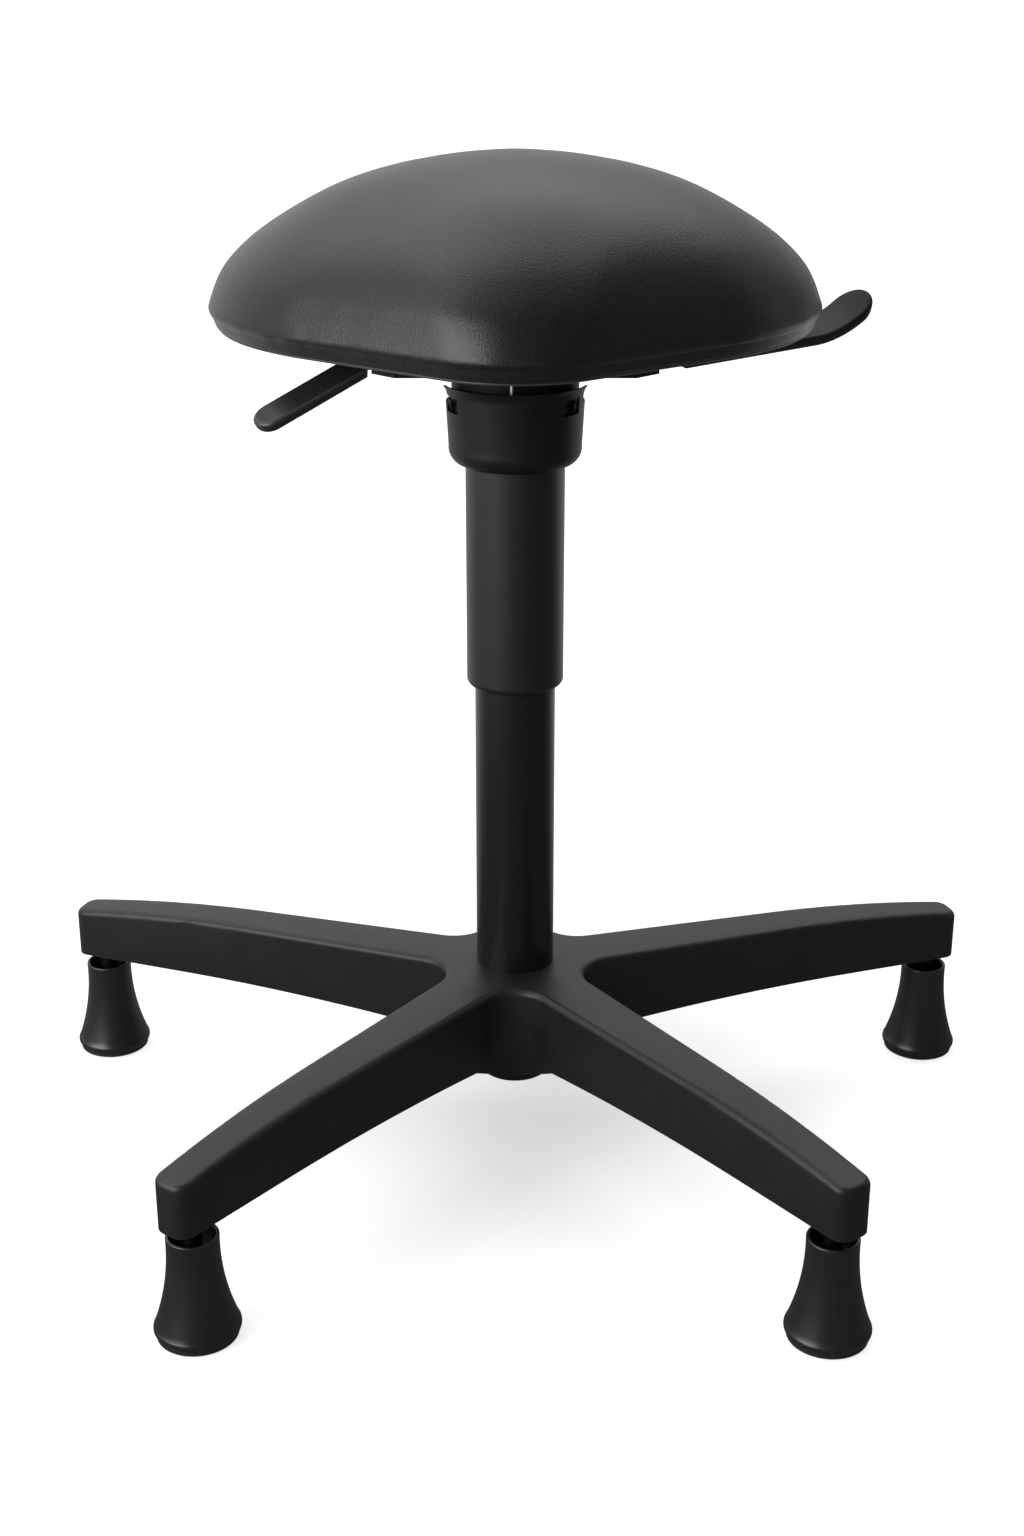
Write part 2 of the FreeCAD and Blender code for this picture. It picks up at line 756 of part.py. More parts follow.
def rod_buffer():
    """Rubber ring that the cylinder lands on at its lowest."""
    low = rod_shoulder_z + fit_gap
    body = ring(rod_radius + fit_gap, buffer_radius, low, low + buffer_height)
    rims = [e for e in body.Edges if abs(e.CenterOfMass.z - low - buffer_height) < fit_gap
            and e.Curve.Radius > rod_radius * 2]
    return body.makeFillet(buffer_height / 3, rims)


def piston():
    """Piston with a groove for its ring."""
    outer = cylinder_radius - cylinder_wall - run_gap
    body = ring(rod_nose_radius + fit_gap, outer, piston_z + fit_gap, piston_z + piston_height)
    middle = piston_z + piston_height / 2
    half = piston_ring_height / 2
    return body.cut(ring(outer - piston_ring_depth, outer + overrun, middle - half, middle + half))


def piston_ring():
    """Seal ring in the piston's groove."""
    outer = cylinder_radius - cylinder_wall - run_gap
    middle = piston_z + piston_height / 2
    half = piston_ring_height / 2 - fit_gap
    return ring(outer - piston_ring_depth + fit_gap, outer, middle - half, middle + half)


def piston_nut():
    """Hexagon nut that holds the piston."""
    low = piston_z + piston_height + fit_gap
    return hexagon(piston_nut_radius, piston_nut_height, low).cut(
        rod(rod_nose_radius + fit_gap, low - overrun, low + piston_nut_height + overrun))


def hexagon(radius, height, low, x=0.0, y=0.0):
    """Upright six-sided prism."""
    points = [V(x + radius * math.cos(math.radians(60 * i)), y + radius * math.sin(math.radians(60 * i)), low)
              for i in range(7)]
    return Part.Face(Part.makePolygon(points)).extrude(V(0, 0, height))


def cone_radius(z):
    """Radius of the cylinder's upper cone at a height."""
    share = (z - cone_start_z) / (cone_top_z - cone_start_z)
    return cylinder_radius + share * (cone_top_radius - cylinder_radius)


def pressure_cylinder():
    """Steel cylinder of the gas spring with its cone and a lip rolled in at the foot."""
    inner = cylinder_radius - cylinder_wall
    low, lip_z = cylinder_bottom_z, cylinder_bottom_z + cylinder_lip
    mouth = rod_radius + cylinder_lip
    chamber_top = cone_top_z - cylinder_plug
    bore, bore_z = button_radius + run_gap, cone_top_z - button_hold - button_travel - free_gap
    return lathe(polygon([
        (mouth, low), (cylinder_radius - cylinder_wall / 2, low), (cylinder_radius, low + cylinder_wall / 2),
        (cylinder_radius, cone_start_z), (cone_top_radius, cone_top_z), (bore, cone_top_z), (bore, bore_z),
        (0, bore_z), (0, chamber_top), (inner, chamber_top), (inner, lip_z), (mouth, lip_z)]))


def rod_guide():
    """Guide ring at the cylinder's foot."""
    low = cylinder_bottom_z + cylinder_lip + fit_gap
    outer = cylinder_radius - cylinder_wall - fit_gap
    return ring(rod_radius + run_gap, outer, low, low + guide_height - seal_height - 2 * fit_gap)


def rod_seal():
    """Rubber seal above the guide ring."""
    top = guide_top_z - fit_gap
    outer = cylinder_radius - cylinder_wall - fit_gap
    return ring(rod_radius + run_gap, outer, top - seal_height, top)


def release_button():
    """Valve button in the top of the cone."""
    low, high = cone_top_z - button_hold, cone_top_z + button_proud
    body = rod(button_radius, low, high)
    return body.makeFillet(button_radius / 5, [e for e in body.Edges if abs(e.CenterOfMass.z - high) < fit_gap])


def cover_sleeve():
    """Moulded sleeve that slides over the stand tube, hung from a flange inside the cap."""
    inner, toe_inner = sleeve_radius - sleeve_wall, tube_radius + sleeve_toe_gap
    toe_z = sleeve_bottom_z + sleeve_toe_height
    toe_round_z = sleeve_bottom_z + sleeve_toe_round
    toe_through = (sleeve_radius - sleeve_toe_round / 4, sleeve_bottom_z + sleeve_toe_round / 4)
    flange_radius = sleeve_radius + sleeve_flange_width
    flange_top = sleeve_flange_z + sleeve_flange_height
    roof_z = sleeve_top_z - sleeve_flange_width
    mouth = cylinder_radius + free_gap
    return lathe([
        line((toe_inner, toe_z), (toe_inner, sleeve_bottom_z)),
        arc((toe_inner, sleeve_bottom_z), toe_through, (sleeve_radius, toe_round_z)),
        line((sleeve_radius, toe_round_z), (sleeve_radius, sleeve_flange_z)),
        line((sleeve_radius, sleeve_flange_z), (flange_radius, sleeve_flange_z)),
        line((flange_radius, sleeve_flange_z), (flange_radius, flange_top)),
        line((flange_radius, flange_top), (sleeve_radius, flange_top)),
        line((sleeve_radius, flange_top), (sleeve_radius, sleeve_top_z)),
        line((sleeve_radius, sleeve_top_z), (mouth, sleeve_top_z)),
        line((mouth, sleeve_top_z), (mouth, roof_z)),
        line((mouth, roof_z), (inner, roof_z)),
        line((inner, roof_z), (inner, toe_z)),
        line((inner, toe_z), (toe_inner, toe_z))])


def cap_radius(z):
    """Outer radius of the cap's wall above its shoulder."""
    low = cap_bottom_z + cap_shoulder_height
    share = (z - low) / (cap_rim_z - low)
    return cap_shoulder_radius + share * (cap_rim_radius - cap_shoulder_radius)


def window_angle(side):
    """Heading of a snap window in degrees."""
    return -90 + cap_turn_deg + side * window_turn_deg


def cap():
    """Cup that hides the mechanism's boss, with two snap windows and raised side edges."""
    shoulder_z = cap_bottom_z + cap_shoulder_height
    bend = 1 - math.sqrt(0.5)
    width = cap_shoulder_radius - cap_bottom_radius
    mouth = (sleeve_radius + free_gap, cap_bottom_z)
    lip_z = cap_rim_z - cap_lip_height

    def shoulder(offset):
        start = (cap_bottom_radius - offset, cap_bottom_z + offset)
        end = (cap_shoulder_radius - offset, shoulder_z + offset)
        through = (cap_shoulder_radius - offset - width * bend, cap_bottom_z + offset
                   + cap_shoulder_height * bend)
        return start, through, end

    def lip(offset):
        low = (cap_radius(lip_z) - offset, lip_z)
        through = (cap_radius(lip_z) - offset + cap_lip_flare / 4, lip_z + cap_lip_height / 2)
        return low, through, (cap_rim_radius + cap_lip_flare - offset, cap_rim_z)

    start, through, end = shoulder(0)
    inner_start, inner_through, inner_end = shoulder(cap_wall)
    inner_foot = (mouth[0] + fit_gap, inner_start[1])
    low, bend_out, rim = lip(0)
    inner_low, inner_bend_out, inner_rim = lip(cap_wall)
    body = lathe([
        line(mouth, start), arc(start, through, end), line(end, low), arc(low, bend_out, rim),
        line(rim, inner_rim), arc(inner_rim, inner_bend_out, inner_low), line(inner_low, inner_end),
        arc(inner_end, inner_through, inner_foot), line(inner_foot, mouth)])
    for side in (-1, 1):
        window = block(cap_bottom_radius, cap_rim_radius + cap_lip_flare, -window_width / 2,
                       window_width / 2, window_low_z, window_low_z + window_height)
        body = body.cut(turned(window, window_angle(side)))
        notch = block(cap_bottom_radius - overrun, rim[0] + overrun, horn_cut_front_y, horn_cut_back_y,
                      cap_rim_z - horn_cut_depth, cap_rim_z + overrun)
        body = body.cut(notch if side > 0 else mirrored(notch))
    return body


def rounded_plate(half_width, front, back, corner, low, high):
    """Flat plate with rounded upright corners."""
    body = block(-half_width, half_width, front, back, low, high)
    return body.makeFillet(corner, upright_edges(body, 0, half_width + max(abs(front), abs(back))))


def chamfered_plate(half_width, front, back, corner, low, high):
    """Flat plate with its four corners cut off."""
    body = block(-half_width, half_width, front, back, low, high)
    return body.makeChamfer(corner, upright_edges(body, 0, half_width + max(abs(front), abs(back))))


def ear(x, y, z, thickness, round_radius, low, bore):
    """Upright ear in the YZ plane with a round end about a bore."""
    outer = cross_rod(round_radius, x, x + thickness, y, z)
    low_z, high_z = min(low, z), max(low, z)
    outer = outer.fuse(block(x, x + thickness, y - round_radius, y + round_radius, low_z, high_z))
    return outer.cut(cross_rod(bore, x - overrun, x + thickness + overrun, y, z)).removeSplitter()


tray_top_z = tray_low_z + tray_plate
locating_pin_y = -(boss_radius + locating_pin_out)


def mechanism_tray():
    """Pressed tray with upturned sides and the round boss that carries the taper bush."""
    rim_z = tray_top_z + tray_flange_height
    body = chamfered_plate(tray_half_width, tray_front_y, tray_back_y, tray_corner, tray_low_z, rim_z)
    inside = chamfered_plate(tray_half_width - tray_plate, tray_front_y + tray_plate,
                             tray_back_y - tray_plate, tray_corner, tray_top_z, rim_z + overrun)
    body = body.cut(inside)
    low_front = block(-tray_half_width - overrun, tray_half_width + overrun, tray_front_y - overrun,
                      tray_back_y + overrun, tray_top_z + tray_flange_height / 2, rim_z + overrun)
    low_front = low_front.cut(block(-tray_half_width - 2 * overrun, tray_half_width + 2 * overrun,
                                    -lock_ear_width, 2 * lock_ear_width, tray_low_z, rim_z + 2 * overrun))
    body = body.cut(low_front)
    flare = lathe([
        line((0, tray_low_z), (boss_radius + boss_flare, tray_low_z)),
        quarter((boss_radius + boss_flare, tray_low_z - boss_flare), boss_flare, 90, 180),
        line((boss_radius, tray_low_z - boss_flare), (boss_radius, boss_low_z)),
        line((boss_radius, boss_low_z), (0, boss_low_z)),
        line((0, boss_low_z), (0, tray_low_z))])
    body = body.fuse(flare)
    body = body.cut(rod(boss_radius - boss_wall, boss_low_z + boss_floor, tray_top_z + overrun))
    body = body.cut(rod(bush_radius + fit_gap, boss_low_z - overrun, tray_top_z + overrun))
    for side in (-1, 1):
        inner = cap_radius(window_low_z) - cap_wall
        tab = block(boss_radius - boss_wall, boss_radius + tab_proud, -tab_width / 2, tab_width / 2,
                    window_low_z + free_gap, window_low_z + free_gap + tab_height)
        ramp = block(0, tab_proud * 2, -tab_width, tab_width, 0, tab_height * 2)
        ramp.rotate(V(0, 0, 0), V(0, 1, 0), 180 / math.pi * math.atan2(tab_proud, tab_height))
        tab = tab.cut(moved(ramp, inner - free_gap, 0, window_low_z + free_gap))
        body = body.fuse(turned(tab, window_angle(side) + side * tab_turn_deg))
        x = side * tray_ear_x - ear_thickness / 2
        body = body.fuse(ear(x, tilt_y, tilt_z, ear_thickness, ear_round, tray_low_z,
                             tilt_pin_radius + fit_gap))
        y = side * (lever_bar_width / 2 + lever_ear_gap)
        body = body.fuse(lever_ear(y, side))
    body = body.fuse(ear(lock_ear_x, spindle_y, spindle_z, ear_thickness, lock_ear_width / 2 - overrun,
                         tray_low_z, spindle_radius + run_gap))
    groove = rod(locating_pin_radius + fit_gap, locating_pin_low_z - fit_gap, locating_pin_top_z + fit_gap,
                 locating_pin_x, locating_pin_y)
    return carve_lever_paths(body.cut(groove)).removeSplitter()


def lever_ear(y, side):
    """Ear on the tray's inner edge for the height lever's pin, joined to the plate by a foot."""
    y0, y1 = sorted((y, y + side * ear_thickness))
    round_radius = lever_barrel_radius
    head = Part.makeCylinder(round_radius, y1 - y0, V(lever_pin_x, y0, lever_pin_z), V(0, 1, 0))
    post = block(lever_pin_x - round_radius, lever_pin_x + round_radius, y0, y1, tray_low_z, lever_pin_z)
    reach = block(-boss_radius, lever_pin_x + round_radius, y0, y1, tray_low_z, tray_top_z)
    bore = Part.makeCylinder(lever_pin_radius + fit_gap, ear_thickness + 2 * overrun,
                             V(lever_pin_x, y0 - overrun, lever_pin_z), V(0, 1, 0))
    return head.fuse([post, reach]).cut(bore).removeSplitter()


def carve_lever_paths(body):
    """Slots in the tray's sides for the height lever's bar and the lock spindle."""
    rim_z = tray_top_z + tray_flange_height + overrun
    half = lever_bar_width / 2 + lever_slot_margin
    slot = block(-tray_half_width - overrun, -tray_half_width + 2 * tray_plate, -half, half,
                 tray_top_z - overrun, rim_z)
    bore = cross_rod(spindle_radius + run_gap, tray_half_width - 2 * tray_plate,
                     tray_half_width + overrun, spindle_y, spindle_z)
    mouth = block(-boss_radius, lever_pin_x - lever_barrel_radius, -lever_bar_width / 2 - lever_ear_gap,
                  lever_bar_width / 2 + lever_ear_gap, tray_top_z, rim_z)
    return body.cut([slot, bore, mouth])


def taper_bush():
    """Steel bush in the boss whose cone grips the cylinder."""
    outer = polygon([
        (cone_radius(bush_low_z) + fit_gap, bush_low_z), (bush_radius, bush_low_z), (bush_radius, boss_low_z),
        (bush_radius, boss_low_z + boss_floor + fit_gap),
        (bush_flange_radius, boss_low_z + boss_floor + fit_gap),
        (bush_flange_radius, boss_low_z + boss_floor + bush_flange),
        (bush_radius, boss_low_z + boss_floor + bush_flange), (bush_radius, bush_top_z),
        (cone_radius(bush_top_z) + fit_gap, bush_top_z)])
    return lathe(outer)


def locating_pin():
    """Bright pin let into the front of the boss, its foot behind the cap's rim."""
    body = rod(locating_pin_radius, locating_pin_low_z, locating_pin_top_z, locating_pin_x, locating_pin_y)
    return body.makeChamfer(locating_pin_radius / 3,
                            [e for e in body.Edges if abs(e.CenterOfMass.z - locating_pin_top_z) < fit_gap])


seat_ear_x = tray_ear_x + ear_thickness + free_gap


def tilt_pin():
    """Headed pin through the ears of tray and seat plate."""
    end = seat_ear_x + ear_thickness + tilt_pin_head
    low = -end
    body = cross_rod(tilt_pin_radius, low, end, tilt_y, tilt_z)
    return body.fuse(cross_rod(tilt_pin_head_radius, low - tilt_pin_head, low, tilt_y, tilt_z)).removeSplitter()


def tilt_pin_clip():
    """Flat ring on the pin's far end."""
    start = seat_ear_x + ear_thickness + free_gap
    body = cross_rod(tilt_pin_head_radius, start, start + tilt_pin_head - free_gap, tilt_y, tilt_z)
    return body.cut(cross_rod(tilt_pin_radius + fit_gap, start - overrun, start + tilt_pin_head + overrun,
                              tilt_y, tilt_z))


def lever_pin():
    """Pin on which the height lever rocks."""
    half = lever_bar_width / 2 + lever_ear_gap + ear_thickness
    return Part.makeCylinder(lever_pin_radius, 2 * half, V(lever_pin_x, -half, lever_pin_z), V(0, 1, 0))


def placed(shape, root, heading, slope, roll):
    """Shape modelled along +X, rolled, sloped and headed about its root."""
    copy = shape.copy()
    copy.rotate(V(0, 0, 0), V(1, 0, 0), roll)
    copy.rotate(V(0, 0, 0), V(0, 1, 0), -slope)
    copy.rotate(V(0, 0, 0), V(0, 0, 1), heading)
    copy.translate(V(*root))
    return copy


def paddle(length, width, flat, bend_radius):
    """Grip along +X: a tongue that widens to a round end and curves upward past its flat part."""
    half, root_half = width / 2, paddle_root_width / 2
    mid, reach = length - half, 2 * paddle_thickness
    tip = Part.Arc(V(mid, half, -reach), V(length, 0, -reach), V(mid, -half, -reach)).toShape()
    back = Part.Arc(V(0, -root_half, -reach), V(-paddle_back_bulge, 0, -reach), V(0, root_half, -reach)).toShape()
    sides = [Part.LineSegment(V(mid, -half, -reach), V(0, -root_half, -reach)).toShape(),
             Part.LineSegment(V(0, root_half, -reach), V(mid, half, -reach)).toShape()]
    plan = Part.Face(Part.Wire([tip, sides[0], back, sides[1]])).extrude(V(0, 0, 3 * reach))
    swing = math.asin((length + overrun - flat) / (bend_radius - paddle_thickness / 2))

    def at(offset, angle):
        radius = bend_radius - offset
        return V(flat + radius * math.sin(angle), -width, bend_radius - radius * math.cos(angle))

    low, high, start = -paddle_thickness / 2, paddle_thickness / 2, -2 * paddle_back_bulge
    side = Part.Wire([
        Part.LineSegment(V(start, -width, low), at(low, 0)).toShape(),
        Part.Arc(at(low, 0), at(low, swing / 2), at(low, swing)).toShape(),
        Part.LineSegment(at(low, swing), at(high, swing)).toShape(),
        Part.Arc(at(high, swing), at(high, swing / 2), at(high, 0)).toShape(),
        Part.LineSegment(at(high, 0), V(start, -width, high)).toShape(),
        Part.LineSegment(V(start, -width, high), V(start, -width, low)).toShape()])
    body = plan.common(Part.Face(side).extrude(V(0, 2 * width, 0)))
    return body.makeFillet(paddle_edge_round, [e for e in body.Edges if not is_wall_edge(e)])


def is_wall_edge(edge):
    """True for an edge that crosses the paddle's thickness or its width."""
    ends = [v.Point for v in edge.Vertexes]
    if len(ends) != 2:
        return False
    flat_join = abs(ends[0].x - ends[1].x) < fit_gap and abs(ends[0].z - ends[1].z) < fit_gap \
        and edge.Length > paddle_root_width - fit_gap and ends[0].x > paddle_thickness
    return flat_join or abs(ends[0].z - ends[1].z) > paddle_thickness / 2 and edge.Length < 2 * paddle_thickness


def left_place(shape):
    """Shape in the height lever's grip frame."""
    return placed(shape, left_root, left_heading_deg, left_slope_deg, left_roll_deg)


def height_lever_bar():
    """Flat steel bar with a barrel on its pin, a round nose over the button and a cranked outer end."""
    half, low = lever_bar_width / 2, lever_bar_z - lever_bar_thickness / 2
    end_x = left_root[0] + paddle_back_bulge
    body = block(end_x, 0, -half, half, low, low + lever_bar_thickness)
    body = body.fuse(Part.makeCylinder(lever_barrel_radius, lever_bar_width,
                                       V(lever_pin_x, -half, lever_pin_z), V(0, 1, 0)))
    nose_z = cone_top_z + button_proud + button_gap + lever_nose_radius
    nose_half = button_radius
    body = body.fuse(Part.makeCylinder(lever_nose_radius, 2 * nose_half, V(0, -nose_half, nose_z), V(0, 1, 0)))
    body = body.fuse(block(-lever_nose_radius, lever_nose_radius, -nose_half, nose_half, nose_z,
                           low + lever_bar_thickness))
    tail = block(-lever_bar_thickness, bar_grip, -half / 2, half / 2, -lever_bar_thickness / 2,
                 lever_bar_thickness / 2)
    crank = block(end_x, end_x + lever_bar_thickness, left_root[1] - half / 2, left_root[1] + half / 2,
                  left_root[2] - paddle_thickness / 2, low + lever_bar_thickness)
    body = body.fuse([left_place(tail), crank])
    bore = Part.makeCylinder(lever_pin_radius + run_gap, lever_bar_width + 2 * overrun,
                             V(lever_pin_x, -half - overrun, lever_pin_z), V(0, 1, 0))
    return body.cut(bore).removeSplitter()


def height_lever_grip():
    """Nylon paddle pushed over the bar's outer end."""
    half, thick = lever_bar_width / 4 + fit_gap, lever_bar_thickness / 2 + fit_gap
    slot = block(-2 * bar_grip, bar_grip + fit_gap, -half, half, -thick, thick)
    body = paddle(left_length, left_width, left_flat, left_bend_radius)
    end_x = left_root[0] + paddle_back_bulge - fit_gap
    crank_room = block(end_x, end_x + bar_grip, -left_width, left_width,
                       left_root[2] - left_width, left_root[2] + left_width)
    return left_place(body.cut(slot)).cut(crank_room)


def tilt_spindle():
    """Round lock spindle from the friction pack out to the lever."""
    end = right_root[0] + spindle_grip
    body = cross_rod(spindle_radius, spindle_inner_x, end, spindle_y, spindle_z)
    start = tray_half_width + free_gap
    collar = cross_rod(spindle_collar_radius, start, start + spindle_collar_length, spindle_y, spindle_z)
    return body.fuse(collar).removeSplitter()


def tilt_lever_grip():
    """Nylon paddle of the tilt lock with a hub on the spindle."""
    body = placed(paddle(right_length, right_width, right_flat, right_bend_radius), right_root,
                  right_heading_deg, right_slope_deg, right_roll_deg)
    start = right_root[0] - spindle_hub_length / 2
    hub = cross_rod(spindle_hub_radius, start, start + spindle_hub_length, spindle_y, spindle_z)
    hub = hub.makeFillet(overrun, [e for e in hub.Edges if len(e.Vertexes) == 1])
    body = body.fuse(hub)
    bore = cross_rod(spindle_radius + fit_gap, start - 3 * spindle_hub_length,
                     right_root[0] + spindle_grip + fit_gap, spindle_y, spindle_z)
    return body.cut(bore).removeSplitter()


def lock_pitch():
    """Distance from one friction disc to the next."""
    return disc_thickness + lock_plate_thickness + 2 * lock_face_gap


def friction_discs():
    """Discs on the spindle between the seat's lock plates."""
    discs = []
    for index in range(disc_count):
        x = lock_stack_x + index * lock_pitch()
        disc = cross_rod(disc_radius, x, x + disc_thickness, spindle_y, spindle_z)
        bore = cross_rod(spindle_radius + run_gap, x - overrun, x + disc_thickness + overrun,
                         spindle_y, spindle_z)
        discs.append(disc.cut(bore))
    return group(discs)


def lock_slot(x, thickness):
    """Curved slot about the tilt pin, as long as the seat's travel."""
    arm = V(0, spindle_y - tilt_y, spindle_z - tilt_z)
    slot_radius = spindle_radius + free_gap
    steps = 6
    tools = []
    for index in range(steps + 1):
        angle = -index * tilt_forward_deg / steps
        point = FreeCAD.Rotation(V(1, 0, 0), angle).multVec(arm)
        tools.append(cross_rod(slot_radius, x - overrun, x + thickness + overrun, tilt_y + point.y,
                               tilt_z + point.z))
    pieces = [tools[0]]
    for one, two in zip(tools, tools[1:]):
        a, b = one.CenterOfMass, two.CenterOfMass
        run = b.sub(a)
        bar = block(-(thickness / 2 + overrun), thickness / 2 + overrun, -slot_radius, slot_radius, 0, run.Length)
        bar.rotate(V(0, 0, 0), V(1, 0, 0), math.degrees(math.atan2(-run.y, run.z)))
        pieces += [moved(bar, a.x, a.y, a.z), two]
    return pieces[0].fuse(pieces[1:]).removeSplitter()


def lock_plates():
    """Slotted plates that hang from the seat plate between the discs."""
    travel = (spindle_y - tilt_y) * math.sin(math.radians(tilt_forward_deg))
    plates = []
    for index in range(disc_count - 1):
        x = lock_stack_x + disc_thickness + lock_face_gap + index * lock_pitch()
        half = lock_plate_width / 2
        low = spindle_z - travel - spindle_radius - half / 2
        blank = block(x, x + lock_plate_thickness, spindle_y - half - overrun, spindle_y + half - overrun,
                      low, plate_low_z - fit_gap)
        plates.append(blank.cut(lock_slot(x, lock_plate_thickness)))
    return group(plates)


def lock_nut():
    """Nut that closes the friction pack at the spindle's inner end."""
    end = lock_stack_x - lock_face_gap
    body = hexagon(lock_nut_radius, lock_nut_height, 0)
    body = body.cut(rod(spindle_radius + fit_gap, -overrun, lock_nut_height + overrun))
    body.rotate(V(0, 0, 0), V(0, 1, 0), 90)
    return moved(body, end - lock_nut_height, spindle_y, spindle_z)


def lock_cam():
    """Cam ring that squeezes the pack when the lever turns."""
    start = lock_ear_x + ear_thickness + free_gap
    body = cross_rod(cam_radius, start, start + cam_length, spindle_y, spindle_z)
    ramp = block(start + cam_length - cam_ramp, start + cam_length + overrun, spindle_y, spindle_y + cam_radius,
                 spindle_z - cam_radius, spindle_z + cam_radius)
    bore = cross_rod(spindle_radius + fit_gap, start - overrun, start + cam_length + overrun,
                     spindle_y, spindle_z)
    return body.cut(ramp).cut(bore)


def lock_spacer():
    """Tube between the friction pack and the tray's ear."""
    start = lock_stack_x + disc_count * lock_pitch() - lock_plate_thickness - lock_face_gap
    end = lock_ear_x - lock_face_gap
    body = cross_rod(spindle_collar_radius, start, end, spindle_y, spindle_z)
    return body.cut(cross_rod(spindle_radius + run_gap, start - overrun, end + overrun, spindle_y, spindle_z))


def bolt_places():
    """Centres of the four seat bolts."""
    return [(x, y) for x in (-bolt_x, bolt_x) for y in (bolt_front_y, bolt_back_y)]


plate_top_z = plate_low_z + plate_thickness
board_low_z = plate_top_z + board_lift
board_top_z = board_low_z + board_thickness


def seat_plate():
    """Pressed plate bolted to the board, with two ears for the tilt pin and stiffening beads."""
    body = rounded_plate(plate_half_width, plate_front_y, plate_back_y, plate_corner, plate_low_z, plate_top_z)
    for side in (-1, 1):
        x = side * (seat_ear_x + ear_thickness / 2) - ear_thickness / 2
        body = body.fuse(ear(x, tilt_y, tilt_z, ear_thickness, seat_ear_round, plate_low_z + overrun,
                             tilt_pin_radius + run_gap))
        bead = block(side * bead_x - bead_width / 2, side * bead_x + bead_width / 2,
                     bolt_front_y + bead_width, bolt_back_y, plate_low_z - bead_height, plate_low_z + overrun)
        body = body.fuse(bead)
    for x, y in bolt_places():
        body = body.cut(rod(bolt_radius + free_gap, plate_low_z - overrun, plate_top_z + overrun, x, y))
    return body.removeSplitter()


def seat_bolts():
    """Flanged hexagon bolts through the seat plate."""
    bolts = []
    for x, y in bolt_places():
        face = plate_low_z - fit_gap
        shank = rod(bolt_radius, face - bolt_flange, board_top_z - nut_flange - free_gap, x, y)
        flange = rod(bolt_flange_radius, face - bolt_flange, face, x, y)
        head = hexagon(bolt_head_radius, bolt_head, face - bolt_head, x, y)
        bolts.append(shank.fuse([flange, head]).removeSplitter())
    return group(bolts)


def tee_nuts():
    """Flanged nuts let into the board from above."""
    nuts = []
    for x, y in bolt_places():
        top = board_top_z - fit_gap
        barrel = rod(nut_barrel_radius, board_low_z + board_thickness / 4, top - nut_flange + fit_gap, x, y)
        flange = rod(nut_flange_radius, top - nut_flange, top, x, y)
        bore = rod(bolt_radius + fit_gap, board_low_z, board_top_z - nut_flange - free_gap + fit_gap, x, y)
        nuts.append(barrel.fuse(flange).cut(bore).removeSplitter())
    return group(nuts)


def outline_wire(inset, scale, z, nose_share=1.0):
    """Seat outline at a height: moved in by an inset, then scaled about the crown's axis."""
    nose, hip, corner = nose_radius * nose_share - inset, hip_radius - inset, corner_radius - inset
    nose_y = nose_centre_y + nose_radius * (nose_share - 1)
    corner_x = hip_centre_x + hip_radius - corner_radius
    corner_y = hip_centre_y
    lift = back_y - corner_y
    back_radius = (corner_x ** 2 + lift ** 2 - corner_radius ** 2) / (2 * (lift - corner_radius))
    back_centre_y = back_y - back_radius
    back = back_radius - inset
    swing = math.degrees(math.atan2(corner_y - back_centre_y, corner_x))
    gap_x, gap_y = hip_centre_x, hip_centre_y - nose_y
    low = math.degrees(math.atan2(gap_y, gap_x) - math.acos((nose - hip) / math.hypot(gap_x, gap_y)))

    def on(centre_x, centre_y, radius, degrees):
        a = math.radians(degrees)
        return centre_x + radius * math.cos(a), centre_y + radius * math.sin(a)

    points = {
        "nose": on(0, nose_y, nose, -90),
        "nose_mid": on(0, nose_y, nose, (low - 90) / 2),
        "cheek_a": on(0, nose_y, nose, low),
        "cheek_b": on(hip_centre_x, hip_centre_y, hip, low),
        "hip_mid": on(hip_centre_x, hip_centre_y, hip, low / 2),
        "hip": on(hip_centre_x, hip_centre_y, hip, 0),
        "corner_mid": on(corner_x, corner_y, corner, swing / 2),
        "corner": on(corner_x, corner_y, corner, swing),
        "back_mid": on(0, back_centre_y, back, (swing + 90) / 2),
        "back": on(0, back_centre_y, back, 90)}

    def at(name, side):
        x, y = points[name]
        return V(side * x * scale, seat_scale_y + (y - seat_scale_y) * scale, z)

    def bend(a, through, b, side):
        return Part.Arc(at(a, side), at(through, side), at(b, side)).toShape()

    def half(side):
        return [bend("nose", "nose_mid", "cheek_a", side),
                Part.LineSegment(at("cheek_a", side), at("cheek_b", side)).toShape(),
                bend("cheek_b", "hip_mid", "hip", side),
                bend("hip", "corner_mid", "corner", side),
                bend("corner", "back_mid", "back", side)]

    return Part.Wire(half(1) + half(-1)[::-1])


def seat_slab(inset, low, high):
    """Flat slab with the seat's outline."""
    return Part.Face(outline_wire(inset, 1.0, low)).extrude(V(0, 0, high - low))


def seat_board():
    """Moulded plywood board inside the cushion's skirt."""
    body = seat_slab(board_inset, board_low_z, board_top_z)
    for x, y in bolt_places():
        body = body.cut(rod(nut_barrel_radius + fit_gap, board_low_z - overrun, board_top_z + overrun, x, y))
        body = body.cut(rod(nut_flange_radius + fit_gap, board_top_z - nut_flange - fit_gap,
                            board_top_z + overrun, x, y))
    return body


